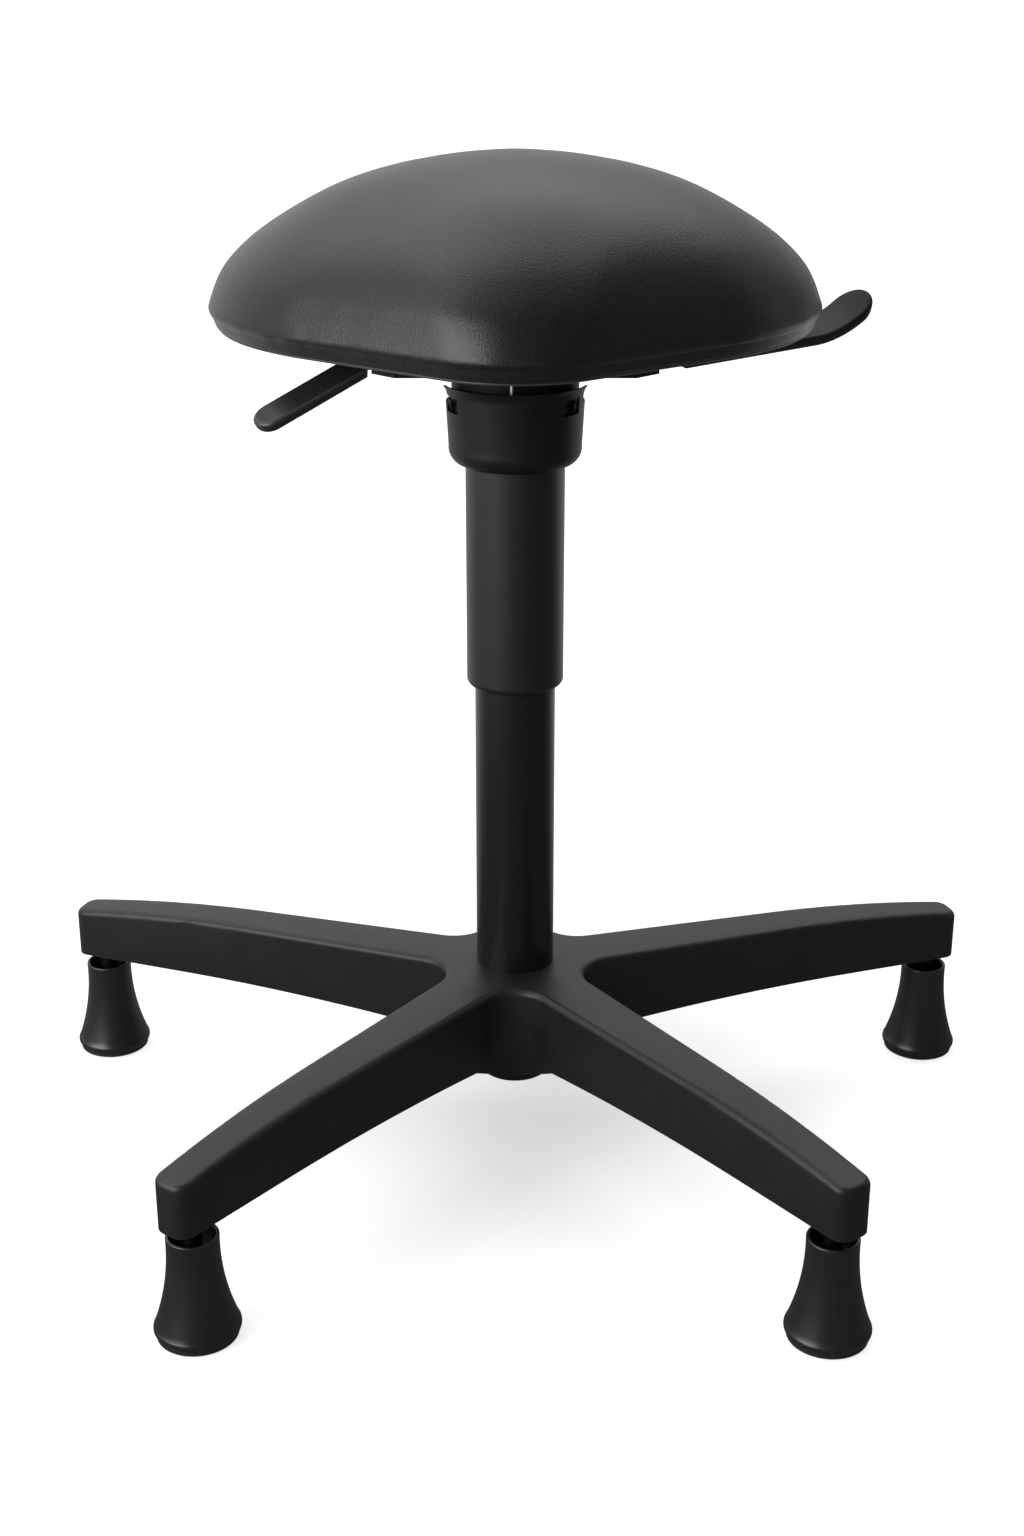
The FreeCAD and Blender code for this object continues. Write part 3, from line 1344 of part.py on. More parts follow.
def seat_cushion():
    """Foam crown with a slanted band at its rim, its skirt turned down around the board."""
    crown = seat_top_z - seat_wide_z
    crease = outline_wire(rim_crease_inset, 1.0, rim_crease_z)
    wires = [crease]
    for height, size, ease in zip(crown_height_shares, crown_size_shares, crown_nose_shares):
        wires.append(outline_wire(0, size, seat_wide_z + crown * height, ease))
    band = Part.makeLoft([outline_wire(rim_inset, 1.0, seat_rim_z), crease], True, True)
    body = Part.makeLoft(wires, True, False).fuse(band)
    pocket = seat_slab(board_inset - free_gap, seat_rim_z - overrun, board_top_z + free_gap)
    return body.cut(pocket)


def seat_liner():
    """Underside cover between seat plate and skirt."""
    low = plate_low_z
    gap = free_gap * 2
    opening = rounded_plate(plate_half_width + gap, plate_front_y - gap, plate_back_y + gap,
                            plate_corner, low - overrun, board_low_z + overrun)
    return seat_slab(board_inset + free_gap, low, board_low_z - fit_gap).cut(opening)


def seat_rim_trim():
    """Thin edge strip that closes the upholstery under the rim."""
    high = seat_rim_z - fit_gap
    outer = seat_slab(rim_inset + rim_trim_inset / 2, high - rim_trim_thickness, high)
    inner = seat_slab(rim_inset + rim_trim_width, high - rim_trim_thickness - overrun, high + overrun)
    return outer.cut(inner)


def build():
    save("star_base", star_base())
    for index, angle in enumerate(arm_angles()):
        place = V(foot_circle_radius, 0, 0)
        for node, shape in (("foot_bell", foot()), ("foot_sole", sole()), ("foot_stem", stem())):
            shape.translate(place)
            save(node + "_" + str(index + 1), turned(shape, angle))
    rings = [turned(moved(grip_ring(), foot_circle_radius), angle) for angle in arm_angles()]
    save("stem_grip_rings", group(rings))
    for node, shape in (
            ("stand_tube", stand_tube()), ("guide_bushing", guide_bushing()),
            ("bearing_lower_race", lower_race()), ("bearing_balls", ball_cage()),
            ("bearing_upper_race", upper_race()), ("piston_rod", piston_rod()),
            ("rod_washer", rod_washer()), ("rod_clip", rod_clip()), ("rod_buffer", rod_buffer()),
            ("piston", piston()), ("piston_ring", piston_ring()), ("piston_nut", piston_nut()),
            ("pressure_cylinder", pressure_cylinder()), ("rod_guide", rod_guide()),
            ("rod_seal", rod_seal()), ("release_button", release_button()),
            ("cover_sleeve", cover_sleeve()), ("sleeve_cap", cap()),
            ("mechanism_tray", mechanism_tray()), ("taper_bush", taper_bush()),
            ("locating_pin", locating_pin()), ("tilt_pin", tilt_pin()),
            ("tilt_pin_clip", tilt_pin_clip()), ("height_lever_pin", lever_pin()),
            ("height_lever_bar", height_lever_bar()), ("height_lever_grip", height_lever_grip()),
            ("tilt_spindle", tilt_spindle()), ("tilt_lever_grip", tilt_lever_grip()),
            ("friction_discs", friction_discs()), ("lock_plates", lock_plates()),
            ("lock_nut", lock_nut()), ("lock_cam", lock_cam()), ("lock_spacer", lock_spacer()),
            ("seat_plate", seat_plate()), ("seat_bolts", seat_bolts()), ("tee_nuts", tee_nuts()),
            ("seat_board", seat_board()), ("seat_cushion", seat_cushion()),
            ("seat_liner", seat_liner()), ("seat_rim_trim", seat_rim_trim())):
        save(node, shape)


build()
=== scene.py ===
"""Looks of a sit-stand stool: padded dome seat, gas lift under a cover sleeve, five-arm base on bell feet.
Metres, +Z up, -Y is the front, where the nose of the seat points."""
import math

import bpy
import numpy as np
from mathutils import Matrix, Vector


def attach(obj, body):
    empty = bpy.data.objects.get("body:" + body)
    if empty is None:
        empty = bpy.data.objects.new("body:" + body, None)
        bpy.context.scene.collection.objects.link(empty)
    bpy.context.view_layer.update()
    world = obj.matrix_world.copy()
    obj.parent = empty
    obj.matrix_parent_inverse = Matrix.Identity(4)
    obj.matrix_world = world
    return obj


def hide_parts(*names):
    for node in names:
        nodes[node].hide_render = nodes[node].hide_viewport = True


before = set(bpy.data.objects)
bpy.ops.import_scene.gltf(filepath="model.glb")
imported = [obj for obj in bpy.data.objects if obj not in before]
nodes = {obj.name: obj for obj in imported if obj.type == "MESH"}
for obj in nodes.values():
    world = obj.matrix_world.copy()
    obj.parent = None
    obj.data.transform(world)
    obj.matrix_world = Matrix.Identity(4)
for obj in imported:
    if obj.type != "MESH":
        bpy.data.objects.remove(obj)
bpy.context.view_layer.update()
scene = bpy.context.scene
scene.view_settings.view_transform = "Standard"

# Camera. It stands in front of the stool a little above the seat and looks down at the column,
# with a lens that is slightly longer than normal, so the base shows from above and the seat from the side.
camera_data = bpy.data.cameras.new("camera")
camera_data.lens = 48.559
camera_data.sensor_width = 36.0
camera = bpy.data.objects.new("camera", camera_data)
camera.location = (-0.0019658, -1.226319, 0.7246661)
camera.rotation_euler = (math.radians(68.829), 0, 0)
scene.collection.objects.link(camera)
scene.camera = camera

# Studio. A white backdrop curves up behind and above the stool, and the room in front of it is dim. Black
# plastic and leather show little else than this room, so they get pale tops and edges and dark fronts.
white = (1, 1, 1, 1)
to_backdrop = (-0.35, 0.69, 0.63)
fill_light = 0.5


def add_node(tree, kind, inputs, operation=None):
    """New node. Each of its inputs, by name or number, gets a value or a link from another node's socket."""
    node = tree.nodes.new(kind)
    if operation:
        node.operation = operation
    for key, value in inputs.items():
        if isinstance(value, bpy.types.NodeSocket):
            tree.links.new(value, node.inputs[key])
        else:
            node.inputs[key].default_value = value
    return node


def compute(tree, operation, *terms):
    """Result of a math node on numbers and sockets."""
    return add_node(tree, "ShaderNodeMath", dict(enumerate(terms)), operation).outputs[0]


def ramp(tree, value, start, end, low, high):
    """Straight line from low at start to high at end, and level beyond them."""
    ends = {"From Min": start, "From Max": end, "To Min": low, "To Max": high}
    return add_node(tree, "ShaderNodeMapRange", {"Value": value, **ends}).outputs["Result"]


def along(tree, vector, direction):
    """How far a vector reaches in a direction: their dot product."""
    return add_node(tree, "ShaderNodeVectorMath", {0: vector, 1: direction}, "DOT_PRODUCT").outputs["Value"]


def seen_straight(tree, rays):
    """1 for a ray from the camera or through glass, and 0 for any other."""
    return compute(tree, "MAXIMUM", rays["Is Camera Ray"], rays["Is Transmission Ray"])


world = bpy.data.worlds.new("studio")
scene.world = world
world.use_nodes = True
tree = world.node_tree
tree.nodes.clear()
rays = add_node(tree, "ShaderNodeLightPath", {}).outputs
sight = add_node(tree, "ShaderNodeTexCoord", {}).outputs["Generated"]
behind = ramp(tree, along(tree, sight, to_backdrop), 0.25, 0.95, 0.08, 1.0)
mirrored = compute(tree, "MULTIPLY", rays["Is Glossy Ray"], behind)
fill = compute(tree, "MULTIPLY", rays["Is Diffuse Ray"], fill_light)
level = compute(tree, "MAXIMUM", compute(tree, "MAXIMUM", seen_straight(tree, rays), mirrored), fill)
backdrop = add_node(tree, "ShaderNodeBackground", {"Color": white, "Strength": level})
add_node(tree, "ShaderNodeOutputWorld", {"Surface": backdrop.outputs[0]})

# Lamps. A large soft box hangs overhead, a tall wide one at the front left puts the pale lobe on the nose of
# the seat, and a weak strip at the right lifts that side of the seat.


def soft_lamp(name, position, target, width, height, power):
    """Rectangular area lamp at a position, turned to its target."""
    data = bpy.data.lights.new(name, "AREA")
    data.shape, data.size, data.size_y, data.energy = "RECTANGLE", width, height, power
    lamp = bpy.data.objects.new(name, data)
    lamp.location = position
    lamp.rotation_euler = (Vector(target) - Vector(position)).to_track_quat("-Z", "Y").to_euler()
    scene.collection.objects.link(lamp)


soft_lamp("overhead_lamp", (-0.15, 0.6, 2.1), (0, 0, 0.5), width=3.4, height=1.3, power=19)
soft_lamp("front_left_lamp", (-1.5, -1.08, 1.0), (0, 0, 0.45), width=1.7, height=1.15, power=30)
soft_lamp("right_lamp", (1.7, 0.7, 0.7), (0, 0, 0.4), width=0.3, height=1.4, power=0.6)

# Floor. Matt pale paint with a glow for camera rays that makes it almost white. The glow is lower under the
# stool, a painted shadow, and rises further out. What glossy faces mirror of it is a painted reflection:
# white behind the stool, and a lit patch in front of the left lamp.
floor_half = 9
paint_grey = 0.55
to_rear = (-0.2, 1.1, 0)
to_lit_patch = (-0.85, -0.53, 0)


def glow(tree, strength):
    """White light given off at a strength."""
    return add_node(tree, "ShaderNodeEmission", {"Color": white, "Strength": strength}).outputs[0]


floor_mesh = bpy.data.meshes.new("floor")
floor_corners = [(x * floor_half, y * floor_half, 0) for x, y in ((-1, -1), (1, -1), (1, 1), (-1, 1))]
floor_mesh.from_pydata(floor_corners, [], [(0, 1, 2, 3)])
floor = bpy.data.objects.new("floor", floor_mesh)
scene.collection.objects.link(floor)
floor_paint = bpy.data.materials.new("floor_paint")
floor_paint.use_nodes = True
tree = floor_paint.node_tree
tree.nodes.clear()
rays = add_node(tree, "ShaderNodeLightPath", {}).outputs
spot = add_node(tree, "ShaderNodeTexCoord", {}).outputs["Object"]
away = add_node(tree, "ShaderNodeVectorMath", {0: spot}, "LENGTH").outputs["Value"]
# Painted shadow: the glow that camera rays see is lowest right under the stool.
painted_shadow_glow = ramp(tree, away, 0.04, 0.26, 0.46, 0.72)
further_out = ramp(tree, away, 0.30, 1.4, 0.0, 0.28)
seen = compute(tree, "MULTIPLY", seen_straight(tree, rays), compute(tree, "ADD", painted_shadow_glow, further_out))
rear = ramp(tree, along(tree, spot, to_rear), 0.1, 0.9, 0.10, 0.78)
lit_patch = ramp(tree, along(tree, spot, to_lit_patch), 0.70, 1.10, 0.0, 0.6)
paint = add_node(tree, "ShaderNodeBsdfDiffuse", {"Color": (paint_grey, paint_grey, paint_grey, 1)})
painted = add_node(tree, "ShaderNodeAddShader", {0: paint.outputs[0], 1: glow(tree, seen)})
# Painted reflection: this glow is seen only by glossy rays.
painted_reflection = glow(tree, compute(tree, "MAXIMUM", rear, lit_patch))
either = add_node(tree, "ShaderNodeMixShader", {0: rays["Is Glossy Ray"], 1: painted.outputs[0], 2: painted_reflection})
add_node(tree, "ShaderNodeOutputMaterial", {"Surface": either.outputs[0]})
floor_mesh.materials.append(floor_paint)

# Shading of the machined and moulded pieces. Their curved faces are turned or moulded smooth, and their
# corners are crisp. The pieces come as loose triangles, so a modifier joins those first.
doubles = 1e-6
sharp_angle = math.radians(28)


def corner_keeper():
    """Geometry node group: merge doubles, shade every face smooth, then shade each edge sharp whose two faces
    meet at more than the sharp angle."""
    group = bpy.data.node_groups.new("corner_keeper", "GeometryNodeTree")
    for side in ("INPUT", "OUTPUT"):
        group.interface.new_socket("Geometry", in_out=side, socket_type="NodeSocketGeometry")
    start = add_node(group, "NodeGroupInput", {}).outputs[0]
    merged = add_node(group, "GeometryNodeMergeByDistance", {"Geometry": start, "Distance": doubles})
    smooth = add_node(group, "GeometryNodeSetShadeSmooth", {"Geometry": merged.outputs[0]}).outputs[0]
    bend = add_node(group, "GeometryNodeInputMeshEdgeAngle", {}).outputs["Unsigned Angle"]
    steep = add_node(group, "FunctionNodeCompare", {"A": bend, "B": sharp_angle}, "GREATER_THAN").outputs[0]
    crisp = add_node(group, "GeometryNodeSetShadeSmooth",
                     {"Geometry": smooth, "Selection": steep, "Shade Smooth": False})
    crisp.domain = "EDGE"
    add_node(group, "NodeGroupOutput", {0: crisp.outputs[0]})
    return group


keeper = corner_keeper()
for node in nodes.values():
    node.modifiers.new("corner_keeper", "NODES").node_group = keeper

# Star base: one black glass-filled nylon moulding with five arms. The steel mould leaves a fine eroded
# texture with slow mottling, and the corners are rubbed a little paler.


def grey(level):
    """Colour with the same red, green and blue."""
    return level, level, level


def number_group(name, inputs, outputs):
    """New shader group for numbers, from its inputs with their usual values and its outputs."""
    group = bpy.data.node_groups.new(name, "ShaderNodeTree")
    for label, value in inputs.items():
        group.interface.new_socket(label, in_out="INPUT", socket_type="NodeSocketFloat").default_value = value
    for label in outputs:
        group.interface.new_socket(label, in_out="OUTPUT", socket_type="NodeSocketFloat")
    return group, add_node(group, "NodeGroupInput", {}).outputs


def noise(tree, point, scale, detail, roughness=0.5):
    """Cloudy number between 0 and 1 at a point."""
    return add_node(tree, "ShaderNodeTexNoise", {"Vector": point, "Scale": scale, "Detail": detail,
                                                 "Roughness": roughness}).outputs["Fac"]


def mould_texture():
    """Group: grain as a height and slow mottling as a mask, each noise whose scale is one over its size."""
    group, asked = number_group("mould_texture", {"Grain size": 0.0006, "Mottle size": 0.03},
                                ("Height", "Mottle"))
    point = add_node(group, "ShaderNodeTexCoord", {}).outputs["Object"]
    grain = noise(group, point, compute(group, "DIVIDE", 1.0, asked["Grain size"]), 3.0, 0.6)
    mottle = noise(group, point, compute(group, "DIVIDE", 1.0, asked["Mottle size"]), 4.0, 0.55)
    add_node(group, "NodeGroupOutput", {"Height": grain, "Mottle": mottle})
    return group


def edge_wear():
    """Group: mask of rubbed corners. It is how far the bevelled normal leaves the true one, broken up by
    noise and scaled by an amount."""
    group, asked = number_group("edge_wear", {"Reach": 0.0012, "Amount": 1.0}, ("Mask",))
    point = add_node(group, "ShaderNodeTexCoord", {}).outputs["Object"]
    rounded = add_node(group, "ShaderNodeBevel", {"Radius": asked["Reach"]})
    rounded.samples = 4
    true = add_node(group, "ShaderNodeNewGeometry", {})
    agree = along(group, rounded.outputs["Normal"], true.outputs["Normal"])
    corner = ramp(group, agree, 0.995, 0.86, 0.0, 1.0)
    broken = ramp(group, noise(group, point, 160.0, 4.0), 0.35, 0.65, 0.0, 1.0)
    mask = compute(group, "MULTIPLY", compute(group, "MULTIPLY", corner, broken), asked["Amount"])
    mask.node.use_clamp = True
    add_node(group, "NodeGroupOutput", {"Mask": mask})
    return group


def place_group(tree, group, values):
    """Outputs of a group that is placed in a material with its own values."""
    node = tree.nodes.new("ShaderNodeGroup")
    node.node_tree = group
    for key, value in values.items():
        node.inputs[key].default_value = value
    return node.outputs


def finish_material(name, metallic=0.0, specular=0.5):
    """New material with a bare Principled surface, its tree and the shader."""
    material = bpy.data.materials.new(name)
    material.use_nodes = True
    tree = material.node_tree
    tree.nodes.clear()
    shader = add_node(tree, "ShaderNodeBsdfPrincipled",
                      {"Metallic": metallic, "Specular IOR Level": specular})
    add_node(tree, "ShaderNodeOutputMaterial", {"Surface": shader.outputs[0]})
    return material, tree, shader


def blend_colours(tree, mask, first, second):
    """Colour that goes from first to second with a mask. Each is red, green and blue, or a colour's socket.
    A mix node's two colours are its inputs 6 and 7."""
    mix = tree.nodes.new("ShaderNodeMix")
    mix.data_type = "RGBA"
    tree.links.new(mask, mix.inputs["Factor"])
    for socket, colour in ((mix.inputs[6], first), (mix.inputs[7], second)):
        if isinstance(colour, bpy.types.NodeSocket):
            tree.links.new(colour, socket)
        else:
            socket.default_value = (*colour, 1)
    return mix.outputs[2]


def raise_normal(tree, shader, height, depth, strength=1.0):
    """Bump of a real depth in metres from a height between 0 and 1."""
    bump = add_node(tree, "ShaderNodeBump", {"Height": height, "Distance": depth, "Strength": strength})
    tree.links.new(bump.outputs["Normal"], shader.inputs["Normal"])


def moulded_plastic(name, dark, pale, worn, rough, grain=0.0007, depth=0.00003, wear=0.5, specular=0.5):
    """Moulded plastic: its colour mottles from dark to pale and turns worn at the corners, its roughness goes
    between two values with the mottling, and its grain is a bump."""
    material, tree, shader = finish_material(name, specular=specular)
    texture = place_group(tree, mould_group, {"Grain size": grain, "Mottle size": 0.025})
    rubbed = place_group(tree, wear_group, {"Reach": 0.0011, "Amount": wear})
    body = blend_colours(tree, texture["Mottle"], dark, pale)
    tree.links.new(blend_colours(tree, rubbed["Mask"], body, worn), shader.inputs["Base Color"])
    tree.links.new(ramp(tree, texture["Mottle"], 0, 1, *rough), shader.inputs["Roughness"])
    raise_normal(tree, shader, texture["Height"], depth)
    return material


def dress(material, *names):
    """Give CAD nodes a material."""
    for name in names:
        data = nodes[name].data
        data.materials.clear()
        data.materials.append(material)


mould_group, wear_group = mould_texture(), edge_wear()
dress(moulded_plastic("base_nylon", grey(0.0075), grey(0.0125), grey(0.055), (0.40, 0.50)), "star_base")

# Foot bells: nylon mouldings like the base, but from a polished mould, so they are glossier.
# Each is pushed onto a steel stem in the tip of an arm.
feet = range(1, 6)
foot_nylon = moulded_plastic("foot_nylon", grey(0.007), grey(0.011), grey(0.045), (0.32, 0.40),
                             depth=0.000015, specular=0.85)
dress(foot_nylon, *["foot_bell_%d" % foot for foot in feet])

# Rubber: soles moulded onto the bells, and the buffer, ring and seal of the gas lift. It is dull black with
# a dusty bloom.
sole_rubber = moulded_plastic("sole_rubber", grey(0.010), grey(0.018), grey(0.05), (0.68, 0.80), grain=0.0004)
dress(sole_rubber, *["foot_sole_%d" % foot for foot in feet], "rod_buffer", "piston_ring", "rod_seal")

# Foot stems: turned steel pins with a dark finish, which show for a few millimetres between arm and bell.


def bare_metal(name, dull, bright, rough, line_size, depth):
    """Metal: its colour clouds from dull to bright, its roughness goes between two values with the clouds,
    and its fine grain is a bump."""
    material, tree, shader = finish_material(name, metallic=1.0)
    texture = place_group(tree, mould_group, {"Grain size": line_size, "Mottle size": 0.008})
    tree.links.new(blend_colours(tree, texture["Mottle"], dull, bright), shader.inputs["Base Color"])
    tree.links.new(ramp(tree, texture["Mottle"], 0, 1, *rough), shader.inputs["Roughness"])
    raise_normal(tree, shader, texture["Height"], depth)
    return material


stem_steel = bare_metal("foot_stem_steel", grey(0.030), grey(0.055), (0.40, 0.55), line_size=0.0004,
                        depth=0.000006)
dress(stem_steel, *["foot_stem_%d" % foot for foot in feet])

# Stand tube and pressure cylinder: drawn steel tubes, enamelled semi-gloss black. The enamel has a faint
# orange peel, and grey steel shows where a corner is knocked.


def coated_steel(name, coat, chipped, rough, peel_size, depth, wear, specular=0.5):
    """Coated steel: bare and metallic where the mask of rubbed corners, stretched and cut off at zero, leaves
    chips. The orange peel is a bump, and its mottling takes the roughness between two values."""
    material, tree, shader = finish_material(name, specular=specular)
    texture = place_group(tree, mould_group, {"Grain size": peel_size, "Mottle size": 0.04})
    rubbed = place_group(tree, wear_group, {"Reach": 0.0009, "Amount": wear})
    stretched = ramp(tree, rubbed["Mask"], 0, 1, -0.6, 1.4)
    stretched.node.clamp = False
    chips = compute(tree, "MAXIMUM", stretched, 0.0)
    chips.node.use_clamp = True
    tree.links.new(blend_colours(tree, chips, coat, chipped), shader.inputs["Base Color"])
    tree.links.new(ramp(tree, chips, 0, 1, 0.0, 0.9), shader.inputs["Metallic"])
    tree.links.new(ramp(tree, texture["Mottle"], 0, 1, *rough), shader.inputs["Roughness"])
    raise_normal(tree, shader, texture["Height"], depth)
    return material


black_tube = coated_steel("black_tube", grey(0.0065), grey(0.30), (0.26, 0.32), peel_size=0.003,
                          depth=0.00001, wear=0.5)
dress(black_tube, "stand_tube", "pressure_cylinder")

# Gas lift inside: a nylon bush in the tube and a guide in the cylinder, both off-white, a bright ground rod
# with its thrust bearing, and an alloy piston. The friction discs of the tilt clamp are bright steel too.
bushing_plastic = moulded_plastic("bushing_plastic", (0.70, 0.69, 0.65), (0.76, 0.75, 0.71),
                                  (0.80, 0.79, 0.76), (0.45, 0.52), wear=0.3)
bright_steel = bare_metal("bright_steel", (0.66, 0.66, 0.67), grey(0.74), (0.16, 0.26), line_size=0.0003,
                          depth=0.000002)
piston_alloy = bare_metal("piston_plastic", (0.66, 0.66, 0.67), (0.74, 0.74, 0.75), (0.25, 0.35),
                          line_size=0.0003, depth=0.000004)
dress(bushing_plastic, "guide_bushing", "rod_guide")
dress(bright_steel, "bearing_lower_race", "bearing_balls", "bearing_upper_race", "piston_rod",
      "friction_discs")
dress(piston_alloy, "piston")

# Cover sleeve and cap: satin black plastic. The sleeve is drawn over the gas lift, and the cap is pushed onto
# its top and reaches up round the mechanism. The cap's copy of the plastic is darker and less glossy: painted
# shade from the seat above it.
cover_plastic = moulded_plastic("cover_plastic", grey(0.0075), grey(0.011), grey(0.045), (0.36, 0.44),
                                grain=0.0005, depth=0.00002)
# Darker, less glossy copy: painted shade from the seat above the cap.
cap_painted_shade_plastic = moulded_plastic("cap_painted_shade_plastic", grey(0.0055), grey(0.008), grey(0.03), (0.42, 0.50),
                              grain=0.0005, depth=0.00002, specular=0.28)
dress(cover_plastic, "cover_sleeve")
dress(cap_painted_shade_plastic, "sleeve_cap")

# Tilt mechanism: pressed steel tray, seat plate, slotted plates and lever bar, powder coated dull black. Its
# pins, spindle, cam, bolts and nuts are plated with slightly cloudy zinc, and so are the small steel pieces
# of the feet and the gas lift.
coated_plate = coated_steel("coated_plate", grey(0.005), grey(0.20), (0.52, 0.62), peel_size=0.0012,
                            depth=0.00003, wear=0.4, specular=0.22)
zinc_steel = bare_metal("zinc_steel", (0.52, 0.53, 0.55), (0.68, 0.68, 0.66), (0.28, 0.45),
                        line_size=0.0004, depth=0.000006)
dress(coated_plate, "mechanism_tray", "seat_plate", "lock_plates", "height_lever_bar")
dress(zinc_steel, "stem_grip_rings", "piston_nut", "rod_washer", "rod_clip", "taper_bush", "locating_pin",
      "tilt_pin", "tilt_pin_clip", "height_lever_pin", "lock_spacer", "release_button", "tilt_spindle",
      "lock_cam", "lock_nut", "seat_bolts", "tee_nuts")

# Lever grips: nylon paddles moulded onto the lever bar and the clamp spindle. One nylon in two copies: the
# left grip's is paler and glossier, a painted highlight, and the right grip's darker and duller, painted
# shade.
left_grip_painted_highlight_nylon = moulded_plastic("left_grip_painted_highlight_nylon", grey(0.009), grey(0.013), grey(0.04), (0.36, 0.44),
                                     grain=0.0005, depth=0.00002, specular=0.8)
right_grip_painted_shade_nylon = moulded_plastic("right_grip_painted_shade_nylon", grey(0.008), grey(0.012), grey(0.04), (0.38, 0.46),
                                   grain=0.0005, depth=0.00002, specular=0.17)
dress(left_grip_painted_highlight_nylon, "height_lever_grip")
dress(right_grip_painted_shade_nylon, "tilt_lever_grip")

# Seat board: moulded birch plywood, pale veneers with brown glue lines at the edge. It carries the foam and
# is bolted to the seat plate through tee nuts.
veneer_dark, veneer_pale, glue_brown = (0.42, 0.27, 0.14), (0.66, 0.49, 0.30), (0.16, 0.09, 0.05)


def birch_board():
    """Plywood: grain from noise that is stretched along Y, glue lines from the crests of a wave along Z."""
    material, tree, shader = finish_material("birch_plywood")
    point = add_node(tree, "ShaderNodeTexCoord", {}).outputs["Object"]
    stretched = add_node(tree, "ShaderNodeMapping", {"Vector": point, "Scale": (160, 9, 160)}).outputs[0]
    grain = noise(tree, stretched, 1.0, 6.0)
    plies = add_node(tree, "ShaderNodeTexWave", {"Vector": point, "Scale": 105.0, "Distortion": 0.4})
    plies.bands_direction = "Z"
    glued = ramp(tree, plies.outputs["Fac"], 0.86, 1.0, 0.0, 1.0)
    veneer = blend_colours(tree, grain, veneer_dark, veneer_pale)
    tree.links.new(blend_colours(tree, glued, veneer, glue_brown), shader.inputs["Base Color"])
    shader.inputs["Roughness"].default_value = 0.6
    raise_normal(tree, shader, grain, 0.00008)
    return material


dress(birch_board(), "seat_board")

# Underside liner: black non-woven cloth, stapled under the board. It is fluffy and dull, with a fine random
# web of fibres.


def nonwoven_cloth():
    """Non-woven cloth: thin pale fibres where the distance to the edge of a random cell falls to zero."""
    material, tree, shader = finish_material("liner_fleece", specular=0.2)
    point = add_node(tree, "ShaderNodeTexCoord", {}).outputs["Object"]
    cells = add_node(tree, "ShaderNodeTexVoronoi", {"Vector": point, "Scale": 900.0})
    cells.feature = "DISTANCE_TO_EDGE"
    fibre = ramp(tree, cells.outputs["Distance"], 0.0, 0.12, 1.0, 0.0)
    tree.links.new(blend_colours(tree, fibre, grey(0.012), grey(0.045)), shader.inputs["Base Color"])
    shader.inputs["Roughness"].default_value = 0.95
    shader.inputs["Sheen Weight"].default_value = 0.25
    raise_normal(tree, shader, fibre, 0.00012)
    return material


dress(nonwoven_cloth(), "seat_liner")

# Seat cover: artificial leather stretched over a moulded foam dome on the plan of a rounded triangle, pulled
# under the rim and stapled there. The nose is at the front, two round hips at the sides.
nose_radius, nose_y = 0.065, -0.082
hip_radius, hip_x, hip_y = 0.1825, 0.007, 0.075
corner_radius, back_y = 0.055, 0.140
crown_y = 0.005
rim_z, wide_z, top_z = 0.5205, 0.531, 0.627
pocket_inset, pocket_z = 0.0117, 0.5393
# Inset and height of each row from the pocket's wall under the hem, up the slanted band and over the crease.
rim_rows = [(pocket_inset, 0.5388), (pocket_inset, 0.536), (pocket_inset, 0.530), (pocket_inset, 0.525),
            (pocket_inset, 0.5212), (0.0112, rim_z), (0.0095, rim_z), (0.0075, rim_z), (0.0062, rim_z),
            (0.0055, 0.5206), (0.0051, 0.5209), (0.0048, 0.5214), (0.0042, 0.52296), (0.0036, 0.52452),
            (0.0030, 0.52608), (0.0028, 0.5266), (0.00275, 0.52685), (0.0026, 0.5272), (0.0020, 0.5277),
            (0.0014, 0.5286), (0.0009, 0.5298)]
# The crown in seven equal steps from rim to top: shares of its height, of the plan's size and of the nose's.
height_shares = np.array([0.0, 0.2, 0.4, 0.6, 0.8, 0.92, 0.98, 1.0])
size_shares = np.array([1.0, 0.96, 0.863, 0.715, 0.52, 0.323, 0.158, 0.062])
nose_shares = np.array([1.0, 1.1, 1.3, 1.6, 1.9, 2.0, 2.0, 2.0])
mean_reach = 0.15
lip_inset, lip_share = 0.0006, 0.12
columns, crown_rows, arc_points, profile_points = 240, 52, 400, 400
slack, voxel, longest_move, cloth_steps = 0.0015, 0.005, 0.004, 20
fold_count, fold_seed, fold_depth = 92, 11, 0.00042
fold_above, fold_spread = 0.0085, 0.0035


